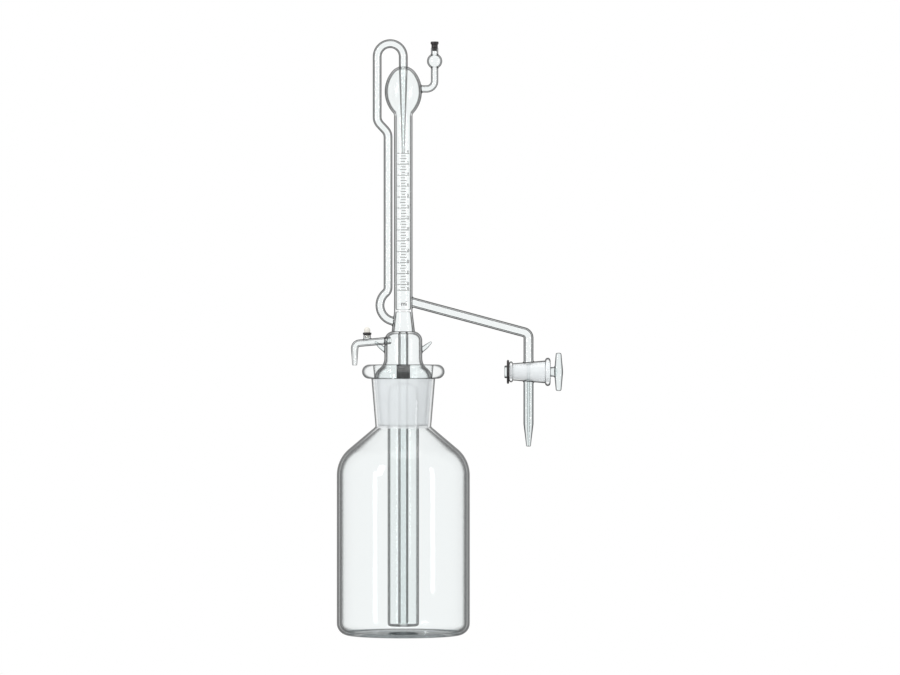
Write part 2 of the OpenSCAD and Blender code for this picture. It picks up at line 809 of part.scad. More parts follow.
function barrel_outline() =
    concat(
        arc([barrel_small_d / 2 + small_bead_h - small_bead_w / 2, small_x + small_bead_w / 2],
            small_bead_w / 2, -90, 90),
        [[barrel_small_d / 2, body_small_x], [barrel_large_d / 2, body_large_x]],
        arc([barrel_large_d / 2 + large_bead_h - large_bead_w / 2, large_x - large_bead_w / 2],
            large_bead_w / 2, -90, 90)
    );

module cock_place() {
    translate([arm_reach, 0, cock_z]) along_x() children();
}

module barrel_envelope() {
    cock_place()
        rotate_extrude() polygon(concat([[0, small_x]], barrel_outline(), [[0, large_x]]));
}

module upright_bore(r) {
    translate([arm_reach, 0, cock_z - barrel_large_d]) cylinder(h = 2 * barrel_large_d, r = r);
}

module stopcock_barrel() color(glass) {
    difference() {
        cock_place()
            rotate_extrude()
                polygon(concat(
                    [[barrel_r(small_x) - barrel_wall, small_x]],
                    barrel_outline(),
                    [[barrel_r(large_x) - barrel_wall, large_x]]
                ));
        upright_bore(key_bore / 2);
    }
}

module delivery_arm() color(glass) {
    difference() {
        union() {
            route(arm_route, arm_r);
            translate([0, 0, arm_start_z]) rotate([0, 90 + arm_fall, 0])
                translate([0, 0, tube_r]) weld(arm_r, tube_r);
            translate([arm_reach, 0, cock_z + barrel_r(0)]) weld(arm_r, arm_r);
        }
        route(arm_route, arm_r - arm_wall);
        translate([0, 0, tube_floor_z]) cylinder(h = tube_top_z - tube_floor_z, r = tube_r);
        barrel_envelope();
    }
}

outlet_taper_z = cock_z - outlet_straight;
outlet_end_z = outlet_taper_z - outlet_taper;

// The delivery jet or its bore, with an overrun at the tip
module outlet(r, tip_r, over) {
    translate([arm_reach, 0, 0])
        rotate_extrude()
            polygon([
                [0, cock_z], [r, cock_z], [r, outlet_taper_z],
                [tip_r, outlet_end_z], [tip_r, outlet_end_z - over], [0, outlet_end_z - over]
            ]);
}

module delivery_jet() color(glass) {
    difference() {
        union() {
            outlet(outlet_d / 2, outlet_tip_d / 2, 0);
            translate([arm_reach, 0, cock_z - barrel_r(0)])
                mirror([0, 0, 1]) weld(outlet_d / 2, outlet_d / 2);
        }
        outlet(key_bore / 2, outlet_tip_bore / 2, cut);
        barrel_envelope();
    }
}

washer_x = small_x - washer_clear - washer_t;
groove_r = barrel_r(washer_x) - barrel_wall - groove_depth;

function key_r(x) = barrel_r(x) - barrel_wall - key_clear;

// Profile of the key: ground plug with the washer's groove, and its neck
function key_outline() =
    [
        [0, small_x - key_end], [key_r(small_x - key_end), small_x - key_end],
        [key_r(washer_x), washer_x], [groove_r, washer_x],
        [groove_r, washer_x + washer_t], [key_r(washer_x + washer_t), washer_x + washer_t],
        [key_r(large_x), large_x], [key_neck_d / 2, large_x],
        [key_neck_d / 2, large_x + handle_off], [0, large_x + handle_off]
    ];

// Outline of the T handle's end, on side 1 or -1 of its middle
function handle_end(side) =
    let (c = [handle_tip_d / 2, handle_len / 2] - handle_end_r * [1, 1])
    concat(
        [for (p = arc(c, handle_end_r, 0, 90)) [p.x, side * p.y]],
        [[0, side * handle_len / 2]]
    );

module stopcock_key() color(ground_glass) {
    difference() {
        union() {
            cock_place() rotate_extrude() polygon(key_outline());
            translate([arm_reach + large_x + handle_off, 0, cock_z])
                rotate_extrude()
                    polygon(concat(back(handle_end(-1)), [[handle_d / 2, 0]], handle_end(1)));
        }
        upright_bore(key_bore / 2);
    }
}

module retaining_washer() color(black_rubber) {
    cock_place()
        rotate_extrude()
            polygon(concat(
                [[groove_r, washer_x]],
                arc([washer_d / 2 - washer_t / 2, washer_x + washer_t / 2], washer_t / 2, -90, 90),
                [[groove_r, washer_x + washer_t]]
            ));
}

reservoir_bottle();
ground_cone();
head_bell();
left_hook();
right_hook();
lift_tube();
coupling_sleeve();
dip_tube();
dip_jacket();
head_stem();
graduated_tube();
overflow_bulb();
riser_loop();
riser_tube();
siphon_bend();
filling_jet();
guard_arm();
guard_bulb();
vent_stopper();
air_nozzle();
vent_ring();
vent_cap();
delivery_arm();
stopcock_barrel();
delivery_jet();
stopcock_key();
retaining_washer();
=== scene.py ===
"""Looks of the automatic zero burette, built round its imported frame.

Every length is in millimetres until a mesh is written, which turns it to metres.
The glass is drawn and blown from tube, so a piece is either turned about an axis
from an outline or swept along a path. Fused pieces share no inner end faces, so
that no wall shows where the real glass is one.
"""

from __future__ import annotations

import json
import logging
import math
from collections.abc import Callable, Sequence
from dataclasses import dataclass
from enum import Enum, IntEnum
from functools import cached_property

import bmesh
import bpy
from mathutils import Matrix, Vector
from mathutils.bvhtree import BVHTree

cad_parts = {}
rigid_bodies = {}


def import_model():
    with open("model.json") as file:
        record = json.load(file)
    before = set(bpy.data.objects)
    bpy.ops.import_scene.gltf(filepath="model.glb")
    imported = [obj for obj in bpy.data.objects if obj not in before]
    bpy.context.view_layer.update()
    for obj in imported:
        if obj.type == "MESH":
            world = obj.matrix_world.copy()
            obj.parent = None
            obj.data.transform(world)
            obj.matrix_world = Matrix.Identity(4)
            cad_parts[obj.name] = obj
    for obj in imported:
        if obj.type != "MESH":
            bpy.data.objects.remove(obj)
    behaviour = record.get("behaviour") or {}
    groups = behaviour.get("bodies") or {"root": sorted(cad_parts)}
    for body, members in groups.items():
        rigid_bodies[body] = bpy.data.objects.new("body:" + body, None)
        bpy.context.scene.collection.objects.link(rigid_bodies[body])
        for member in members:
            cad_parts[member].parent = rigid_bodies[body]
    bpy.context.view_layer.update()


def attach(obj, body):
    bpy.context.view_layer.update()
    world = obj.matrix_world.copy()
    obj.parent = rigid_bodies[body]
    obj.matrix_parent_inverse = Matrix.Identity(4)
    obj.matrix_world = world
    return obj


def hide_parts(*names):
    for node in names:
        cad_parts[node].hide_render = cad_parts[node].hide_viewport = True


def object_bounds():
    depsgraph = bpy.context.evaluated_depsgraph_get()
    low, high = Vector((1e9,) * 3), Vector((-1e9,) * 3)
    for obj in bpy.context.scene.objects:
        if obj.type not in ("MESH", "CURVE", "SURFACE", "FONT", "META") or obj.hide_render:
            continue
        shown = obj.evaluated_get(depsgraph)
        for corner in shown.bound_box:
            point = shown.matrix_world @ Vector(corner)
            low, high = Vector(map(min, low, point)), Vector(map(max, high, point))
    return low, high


MM = 0.001
UP = Vector((0, 0, 1))
MERGED = 1e-4
"""Distance under which two points are one."""
FULL_TURN = 2 * math.pi
QUARTER_TURN = math.pi / 2

Point = tuple[float, float]
"""Half width or distance out, and height."""
Outline = list[Point]
Station = tuple[float, float, float]
"""A point of a tube's axis, as distance out and height, and the tube's radius there."""

log = logging.getLogger("burette")


class Body(str, Enum):
    """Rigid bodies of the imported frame."""

    BOTTLE = "bottle"
    HEAD = "head"
    KEY = "key"
    STOPPER = "stopper"
    CAP = "cap"


class Slot(str, Enum):
    """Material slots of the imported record."""

    CLEAR = "clear_glass"
    GROUND = "ground_glass"
    BLACK = "black_rubber"
    WHITE = "white_rubber"


class Faces(IntEnum):
    """Faces in a full turn, more on a wider piece."""

    BOTTLE = 160
    CONE = 128
    BELL = 96
    BARREL = 80
    TUBE = 64
    SMALL = 48
    THIN = 32


class Mark(Enum):
    """Half length and thickness of the scale's marks."""

    NUMBERED = (6.0, 0.6)
    MIDDLE = (3.2, 0.5)
    SHORT = (2.35, 0.5)


# Colours and finishes


def linear(hex_colour: str) -> tuple[float, float, float, float]:
    """Turns an sRGB hex colour into linear values.

    Args:
        hex_colour: Six hex digits after a hash.

    Returns:
        Red, green, blue and an alpha of 1.
    """
    values = [int(hex_colour[i : i + 2], 16) / 255 for i in (1, 3, 5)]
    made = [v / 12.92 if v <= 0.04045 else ((v + 0.055) / 1.055) ** 2.4 for v in values]
    return made[0], made[1], made[2], 1.0


class NodeTree:
    """A material's or a world's shader nodes."""

    def __init__(self, owner: bpy.types.Material | bpy.types.World) -> None:
        """Empties the owner's node tree.

        Args:
            owner: The material or the world.
        """
        owner.use_nodes = True
        self.tree = owner.node_tree
        self.tree.nodes.clear()

    def add(self, kind: str, inputs: dict | None = None, **settings) -> bpy.types.Node:
        """Adds a node.

        Args:
            kind: Blender's name for the node type.
            inputs: Input name or number to a plain value or to an output socket.
            settings: Properties of the node.

        Returns:
            The new node.
        """
        node = self.tree.nodes.new(kind)
        for name, value in settings.items():
            setattr(node, name, value)
        for name, value in (inputs or {}).items():
            if isinstance(value, bpy.types.NodeSocket):
                self.tree.links.new(value, node.inputs[name])
            else:
                node.inputs[name].default_value = value
        return node


@dataclass(frozen=True)
class ClearGlass:
    """Glass with a thin wall: clear head on, with painted shade where the wall is seen edge on."""

    name: str
    wall_share: float
    """Wall thickness as a share of the outer radius."""
    # Colour of the painted edge shade, which stands in for the darker room that refraction shows at
    # the wall's edge.
    edge: str = "#293032"
    clear: str = "#fdfefe"
    roughness: float = 0.03
    head_on: float = 0.022
    """Share of light mirrored head on. Glass mirrors 0.04, and less keeps it as clear as drawn."""
    steepness: float = 5.0
    """Power by which the mirrored share grows towards the edge, as on any clear material."""
    begins: float = 0.86
    # Where the painted edge shade begins, as a share of the wall's inner side.
    """Where the darkening begins, as a share of the wall's inner side."""
    deepest: float = 0.62
    # Where the painted shade is darkest, as a share of the way from the wall's inner side to the
    # outline.
    """Where it's darkest, as a share of the way from the wall's inner side to the outline."""

    def material(self) -> bpy.types.Material:
        """Makes the material.

        Returns:
            A see-through surface tinted with painted edge shade, under a mirroring one.
        """
        mat = bpy.data.materials.new(self.name)
        nodes = NodeTree(mat)
        inner = 1 - self.wall_share
        starts = 1 - math.sqrt(1 - inner * inner)
        facing = nodes.add("ShaderNodeLayerWeight", {"Blend": 0.5}).outputs["Facing"]
        # Painted shade: the see-through colour darkens towards the outline, in place of refraction.
        painted_edge_shade = nodes.add(
            "ShaderNodeMapRange",
            {
                "Value": facing,
                "From Min": starts * self.begins,
                "From Max": starts + (1 - starts) * self.deepest,
            },
            interpolation_type="SMOOTHSTEP",
        )
        passed = nodes.add(
            "ShaderNodeMix",
            {0: painted_edge_shade.outputs[0], 6: linear(self.clear), 7: linear(self.edge)},
            data_type="RGBA",
        )
        clear = nodes.add("ShaderNodeBsdfTransparent", {"Color": passed.outputs[2]})
        steep = nodes.add("ShaderNodeMath", {0: facing, 1: self.steepness}, operation="POWER")
        mirrored = nodes.add(
            "ShaderNodeMath",
            {0: steep.outputs[0], 1: 1 - self.head_on, 2: self.head_on},
            operation="MULTIPLY_ADD",
        )
        shine = nodes.add("ShaderNodeBsdfGlossy", {"Roughness": self.roughness})
        both = nodes.add(
            "ShaderNodeMixShader",
            {0: mirrored.outputs[0], 1: clear.outputs[0], 2: shine.outputs[0]},
        )
        nodes.add("ShaderNodeOutputMaterial", {"Surface": both.outputs[0]})
        return mat


@dataclass(frozen=True)
class Coat:
    """A plain surface: rubber, ink or ground glass."""

    name: str
    colour: str
    roughness: float
    alpha: float = 1.0
    grain: float = 0.0
    """Height of the surface's grain."""
    grain_size: float = 0.5
    """Width of the grain."""
    ior: float = 1.52
    """Refraction. Rubber and enamel have about 1.52, borosilicate glass 1.47."""

    def material(self) -> bpy.types.Material:
        """Makes the material.

        Returns:
            A plain surface, with its grain as a bump where it has one.
        """
        mat = bpy.data.materials.new(self.name)
        nodes = NodeTree(mat)
        base = nodes.add(
            "ShaderNodeBsdfPrincipled",
            {
                "Base Color": linear(self.colour),
                "Roughness": self.roughness,
                "Alpha": self.alpha,
                "IOR": self.ior,
            },
        )
        if self.grain:
            place = nodes.add("ShaderNodeTexCoord").outputs["Object"]
            noise = nodes.add(
                "ShaderNodeTexNoise",
                {"Vector": place, "Scale": 1 / (self.grain_size * MM), "Detail": 3.0},
            )
            bump = nodes.add(
                "ShaderNodeBump",
                {"Height": noise.outputs[0], "Distance": self.grain * MM, "Strength": 1.0},
            )
            nodes.tree.links.new(bump.outputs[0], base.inputs["Normal"])
        nodes.add("ShaderNodeOutputMaterial", {"Surface": base.outputs[0]})
        return mat


class Finish(Enum):
    """Every finish on the burette.

    The share that a glass's wall takes up decides how broad its painted edge shade looks.
    """

    # Borosilicate glass blown in a mould: smooth and clear, with a soft grey painted edge shade.
    BOTTLE = ClearGlass("bottle_glass", 0.045, edge="#30383a")
    # The same glass in faces across the line of sight: a lighter copy, whose painted edge shade is
    # an even light grey.
    BASE = ClearGlass("base_glass", 0.045, edge="#a3abad")
    # A thick lip rounded in the flame, which spreads the light: a lighter painted edge shade.
    LIP = ClearGlass("lip_glass", 0.06, edge="#4a5254")
    # Wide tube blown out to a bell: a narrow painted dark edge shade.
    BELL = ClearGlass("bell_glass", 0.095)
    # Drawn tube: two painted dark lines of edge shade, with a clear bore between them.
    TUBE = ClearGlass("drawn_tube_glass", 0.15, edge="#1c2325", deepest=0.5)
    # A bulb blown from tube, wide for its wall: a narrow painted dark edge shade.
    BULB = ClearGlass("blown_bulb_glass", 0.086, deepest=0.5)
    # A small bulb blown from thin tube, thick for its width: a broader, darker painted edge shade.
    BALL = ClearGlass("blown_ball_glass", 0.144, edge="#1c2325", deepest=0.5)
    # Wide drawn tube with a thin wall: a narrow painted edge shade, paler than a thin tube's.
    JACKET = ClearGlass("jacket_glass", 0.09)
    # Thin drawn tube, thick for its width: broad painted dark lines of edge shade.
    CAPILLARY = ClearGlass("thin_tube_glass", 0.27, edge="#14191b", deepest=0.36)
    # Rod without a bore, or with a fine one: painted shade reaching far in from its edge.
    SOLID = ClearGlass("solid_glass", 0.5, edge="#1c2224", clear="#f6f9f9")
    # Borosilicate glass ground with grit: milky and matt. The real grain is a few
    # hundredths of a millimetre, too fine to show, so it's drawn coarser.
    GROUND = Coat("ground_glass", "#f0f2f4", 0.62, alpha=0.5, grain=0.03, grain_size=0.4, ior=1.47)
    # The same under a film of grease: half clear and smoother, with as coarse a grain.
    GREASED = Coat(
        "greased_ground_glass", "#f0f2f4", 0.4, alpha=0.32, grain=0.01, grain_size=0.4, ior=1.47
    )
    # Moulded rubber: a soft highlight. The mould's fine grain only breaks it up, and is
    # drawn coarser, so that it shows.
    RUBBER = Coat("black_rubber", "#231f20", 0.5, grain=0.01)
    PALE_RUBBER = Coat("white_rubber", "#d2cfc7", 0.48, grain=0.01)
    # Enamel ink fired on the glass: dense black with a slight gloss.
    INK = Coat("scale_ink", "#1b1a1c", 0.45)

    @cached_property
    def material(self) -> bpy.types.Material:
        """Its material, made when it's first asked for."""
        return self.value.material()


# Outlines


def arc(centre: Point, radius: float, start: float, end: float, step: float = 4.0) -> Outline:
    """Points of an arc.

    Args:
        centre: Its centre.
        radius: Its radius.
        start: Angle of the first point in degrees, 0 pointing outwards and 90 up.
        end: Angle of the last point.
        step: Largest turn from point to point.

    Returns:
        The points in order.
    """
    count = max(2, math.ceil(abs(end - start) / step))
    angles = [math.radians(start + (end - start) * i / count) for i in range(count + 1)]
    return [(centre[0] + radius * math.cos(a), centre[1] + radius * math.sin(a)) for a in angles]


def bent(centre: Point, radius: float, start: float, end: float) -> Outline:
    """Points of a tube's axis round a bend, as those of an arc."""
    return arc(centre, radius, start, end, step=3.0)


def flare(low_r: float, high_r: float, low_z: float, height: float) -> Outline:
    """Points of an S that leads up from one half width to a smaller one.

    Args:
        low_r: Half width at its foot.
        high_r: Half width at its top.
        low_z: Height of its foot.
        height: Height from foot to top.

    Returns:
        The points from the foot up.
    """
    turn = 2 * math.atan((low_r - high_r) / height)
    radius = height / 2 / math.sin(turn)
    degrees = math.degrees(turn)
    foot = arc((low_r - radius, low_z), radius, 0, degrees)
    return foot + arc((high_r + radius, low_z + height), radius, 180 + degrees, 180)


def rounded(points: Sequence[Point], radius: float, step: float = 12.0) -> Outline:
    """Rounds every corner of an open outline between its two ends.

    Args:
        points: The outline.
        radius: Radius of the rounding, less where a side is too short for it.
        step: Largest turn from point to point.

    Returns:
        The rounded outline.
    """
    nearly_straight, most_of_half = math.radians(177), 0.48
    made = [points[0]]
    for before, here, after in zip(points, points[1:], points[2:]):
        corner = Vector(here)
        to_before, to_after = Vector(before) - corner, Vector(after) - corner
        reach = min(to_before.length, to_after.length) * most_of_half
        opening = to_before.angle(to_after)
        if opening > nearly_straight:
            made.append(here)
            continue
        cut = min(radius / math.tan(opening / 2), reach)
        first = corner + to_before.normalized() * cut
        last = corner + to_after.normalized() * cut
        count = max(2, math.ceil((180 - math.degrees(opening)) / step))
        for i in range(count + 1):
            t = i / count
            place = first * (1 - t) ** 2 + corner * (2 * t * (1 - t)) + last * t * t
            made.append((place.x, place.y))
    made.append(points[-1])
    return made


@dataclass(frozen=True)
class Rim:
    """Fire-polished end of a tube."""

    radius: float
    """Outer radius of the tube."""
    half_wall: float
    """Half of the wall, which is the radius of the rim."""
    turns: tuple[float, ...] = (0.0, 0.4, 0.8, 1.2, 1.57)
    """Angles of the points from the wall round to the very end."""

    def wall(self, inside: bool = False) -> Outline:
        """Points of the outer or the inner wall as it closes into the rim.

        Args:
            inside: Whether the inner wall is meant.

        Returns:
            Points as (distance from the very end, radius), from the straight wall on.
        """
        middle, reach = self.radius - self.half_wall, self.half_wall * (-1 if inside else 1)
        return [
            (self.half_wall * (1 - math.sin(a)), middle + reach * math.cos(a)) for a in self.turns
        ]


# Paths


@dataclass(frozen=True)
class Plane:
    """An upright plane through the burette's axis, in which a tube is bent."""

    turn: float = 0.0
    """Angle of the plane's outward direction about Z, in degrees."""

    @property
    def out(self) -> Vector:
        """Direction away from the burette's axis."""
        a = math.radians(self.turn)
        return Vector((math.cos(a), math.sin(a), 0))

    @property
    def across(self) -> Vector:
        """Direction square to the plane."""
        return UP.cross(self.out)

    def at(self, point: Point) -> Vector:
        """A point of the plane in space."""
        return self.out * point[0] + UP * point[1]


def even(points: Sequence[Point], radius: float) -> list[Station]:
    """Stations of a tube with one radius all along."""
    return [(u, z, radius) for u, z in points]


# Meshes


@dataclass(frozen=True)
class Seat:
    """Where a swept tube is fused to another surface."""

    surface: BVHTree
    fillet: float = 0.0
    fillet_turn: float = 84.0
    """Angle that the fillet turns through, which ends it just off the surface."""
    fillet_rings: int = 6
    tries: range = range(100, 60, -2)
    """Percent of its radius at which a line of the wall is sought, less where it would miss."""

    def rings(
        self,
        axis: Vector,
        along: Vector,
        radius: float,
        spoke: Callable[[float], Vector],
        sides: int,
    ) -> list[list[Vector]]:
        """Rings that lead from the tube's wall on to the surface.

        Args:
            axis: A point on the tube's axis, short of the surface.
            along: Direction to the surface.
            radius: Radius of the tube.
            spoke: Gives the direction out from the axis at an angle.
            sides: Points in a ring.

        Returns:
            The rings, the one on the surface last.
        """
        turns = [QUARTER_TURN]
        if self.fillet:
            last = math.radians(self.fillet_turn)
            turns = [last * k / self.fillet_rings for k in range(self.fillet_rings + 1)]
        made = []
        for turn in turns:
            wide = radius + self.fillet * (1 - math.cos(turn))
            lift = self.fillet * (1 - math.sin(turn))
            arms = [spoke(FULL_TURN * i / sides) * wide for i in range(sides)]
            made.append([self._landing(axis, arm, along) - along * lift for arm in arms])
        return made

    def _landing(self, axis: Vector, arm: Vector, along: Vector) -> Vector:
        """Where a line of the wall meets the surface.

        Args:
            axis: A point on the tube's axis.
            arm: Way from the axis to the wall, shortened a little where the line would miss.
            along: Direction to the surface.

        Returns:
            The point on the surface.
        """
        for percent in self.tries:
            hit = self.surface.ray_cast(axis + arm * (percent / 100), along)[0]
            if hit:
                return hit
        return axis + arm


class Shape:
    """A mesh in the making."""

    def __init__(self, name: str) -> None:
        """Starts an empty mesh.

        Args:
            name: Name of the finished piece.
        """
        self.name = name
        self.bm = bmesh.new()
        self.finishes: list[Finish] = []

    def dress(self, faces: Sequence[bmesh.types.BMFace], finish: Finish) -> None:
        """Gives faces their finish and smooths them.

        Args:
            faces: The faces.
            finish: Their finish.
        """
        if finish not in self.finishes:
            self.finishes.append(finish)
        number = self.finishes.index(finish)
        for face in faces:
            face.material_index = number
            face.smooth = True

    def turned(
        self,
        outline: Sequence[Point],
        finish: Finish,
        closed: bool = False,
        steps: int = Faces.BELL,
        sweep: float = FULL_TURN,
        place: Matrix | None = None,
    ) -> Shape:
        """Turns an outline about Z.

        The outline runs up the outside of the glass and down its inside, so that the
        faces look out of the glass.

        Args:
            outline: Points of the outline.
            finish: Finish of the faces.
            closed: Whether the last point joins the first.
            steps: Faces round the turn.
            sweep: Angle of the turn.
            place: Where the axis goes.

        Returns:
            The shape itself.
        """
        verts = [self.bm.verts.new((r, 0, z)) for r, z in outline]
        ends = verts[1:] + verts[:1] if closed else verts[1:]
        edges = [self.bm.edges.new(pair) for pair in zip(verts, ends)]
        old = set(self.bm.faces)
        bmesh.ops.spin(
            self.bm,
            geom=verts + edges,
            axis=UP,
            cent=(0, 0, 0),
            dvec=(0, 0, 0),
            angle=sweep,
            steps=steps,
            use_merge=sweep == FULL_TURN,
        )
        faces = [f for f in self.bm.faces if f not in old]
        self._look_out(faces, outline)
        self.dress(faces, finish)
        if place:
            near = list({v for f in faces for v in f.verts})
            bmesh.ops.transform(self.bm, matrix=place, verts=near)
        return self

    def _look_out(self, faces: list[bmesh.types.BMFace], outline: Sequence[Point]) -> None:
        """Turns faces round if the outline's broadest side doesn't look out of the glass.

        Args:
            faces: Faces of the turned outline.
            outline: The outline.
        """
        sides = zip(outline, outline[1:])
        (r0, z0), (r1, z1) = max(sides, key=lambda s: abs(s[1][1] - s[0][1]) * (s[0][0] + s[1][0]))
        middle = Vector(((r0 + r1) / 2, 0, (z0 + z1) / 2))
        looks = Vector((z1 - z0, 0, r0 - r1))
        nearest = min(faces, key=lambda f: (f.calc_center_median() - middle).length_squared)
        nearest.normal_update()
        if nearest.normal.dot(looks) < 0:
            bmesh.ops.reverse_faces(self.bm, faces=faces)

    def swept(
        self,
        stations: Sequence[Station],
        finish: Finish,
        plane: Plane = Plane(),
        inside: bool = False,
        start: Seat | None = None,
        end: Seat | None = None,
        sides: int = Faces.SMALL,
    ) -> Shape:
        """Sweeps a round tube along a path that lies in one plane.

        Args:
            stations: Points of the tube's axis with the radius at each.
            finish: Finish of the faces.
            plane: Plane of the path.
            inside: Whether this is a bore, whose faces look at the axis.
            start: Surface that the tube starts from.
            end: Surface that it ends on.
            sides: Points in a ring.

        Returns:
            The shape itself.
        """
        path = [plane.at((u, z)) for u, z, _ in stations]
        sizes = [radius for *_, radius in stations]
        rings = []
        for i, here in enumerate(path):
            spoke = self._spoke(plane.across, self._along(path, i))
            rings.append([here + spoke(FULL_TURN * k / sides) * sizes[i] for k in range(sides)])
        if start:
            along = (path[0] - path[1]).normalized()
            spoke = self._spoke(plane.across, -along)
            rings = start.rings(path[0], along, sizes[0], spoke, sides)[::-1] + rings
        if end:
            along = (path[-1] - path[-2]).normalized()
            spoke = self._spoke(plane.across, along)
            rings += end.rings(path[-1], along, sizes[-1], spoke, sides)
        return self.drawn_out(rings, finish, inside)

    @staticmethod
    def _along(path: Sequence[Vector], i: int) -> Vector:
        """Direction of the path at one of its points, true to the bend at an end too.

        Args:
            path: The points.
            i: Number of the point.

        Returns:
            The direction.
        """
        last = len(path) - 1
        if 0 < i < last:
            return (path[i + 1] - path[i - 1]).normalized()
        step = 1 if i == 0 else -1
        near = (path[i + step] - path[i]) * step
        if last == 1:
            return near.normalized()
        far = (path[i + 2 * step] - path[i + step]) * step
        if near.length > 2 * far.length:
            return near.normalized()
        return (near.normalized() * 3 - far.normalized()).normalized()

    @staticmethod
    def _spoke(across: Vector, along: Vector) -> Callable[[float], Vector]:
        """Gives the direction out from a tube's axis at any angle.

        Args:
            across: Direction at angle 0.
            along: Direction of the axis.

        Returns:
            The function from angle to direction.
        """
        side = along.cross(across)
        return lambda angle: across * math.cos(angle) + side * math.sin(angle)

    def drawn_out(self, rings: list[list[Vector]], finish: Finish, inside: bool = False) -> Shape:
        """Draws a first ring out through all the others.

        Args:
            rings: Points of the rings in order, as many in each.
            finish: Finish of the faces.
            inside: Whether the faces look at the rings' middle.

        Returns:
            The shape itself.
        """
        verts = [self.bm.verts.new(p) for p in rings[0]]
        edges = [self.bm.edges.new(pair) for pair in zip(verts, verts[1:] + verts[:1])]
        faces = []
        for ring in rings[1:]:
            drawn = bmesh.ops.extrude_edge_only(self.bm, edges=edges)["geom"]
            new = {v for v in drawn if isinstance(v, bmesh.types.BMVert)}
            others = ([e.other_vert(v) for e in v.link_edges] for v in verts)
            verts = [next(v for v in ends if v in new) for ends in others]
            for vert, place in zip(verts, ring):
                vert.co = place
            edges = [
                e for e in drawn if isinstance(e, bmesh.types.BMEdge) and new.issuperset(e.verts)
            ]
            faces += [f for f in drawn if isinstance(f, bmesh.types.BMFace)]
        faces[0].normal_update()
        middle = sum(rings[0] + rings[1], Vector()) / (2 * len(rings[0]))
        looks_in = faces[0].normal.dot(faces[0].calc_center_median() - middle) < 0
        if looks_in != inside:
            bmesh.ops.reverse_faces(self.bm, faces=faces)
        self.dress(faces, finish)
        return self

    def surface(self) -> BVHTree:
        """The mesh so far, as a surface that tubes can be fused to."""
        return BVHTree.FromBMesh(self.bm)

    def guide(self) -> BVHTree:
        """Gives the surface of a shape that serves for nothing else, and drops the mesh.

        Returns:
            The surface.
        """
        surface = self.surface()
        self.bm.free()
        return surface

    def piece(
        self, body: Body, slot: Slot, nodes: Sequence[str] = (), sharp: float = 32.0
    ) -> bpy.types.Object:
        """Writes the mesh as a finished piece of the burette.

        Args:
            body: Body that it moves with.
            slot: Slot of the record that its finish stands for. Not used.
            nodes: Nodes of the frame that it is shown in place of.
            sharp: Angle in degrees from which an edge stays sharp.

        Returns:
            The object, unturned at the origin.
        """
        bmesh.ops.remove_doubles(self.bm, verts=self.bm.verts, dist=MERGED)
        bmesh.ops.scale(self.bm, vec=(MM, MM, MM), verts=self.bm.verts)
        mesh = bpy.data.meshes.new(self.name)
        self.bm.to_mesh(mesh)
        self.bm.free()
        for finish in self.finishes:
            mesh.materials.append(finish.material)
        mesh.set_sharp_from_angle(angle=math.radians(sharp))
        obj = bpy.data.objects.new(self.name, mesh)
        bpy.context.scene.collection.objects.link(obj)
        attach(obj, body.value)
        if nodes:
            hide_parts(*nodes)
        return obj


# Sub-assemblies


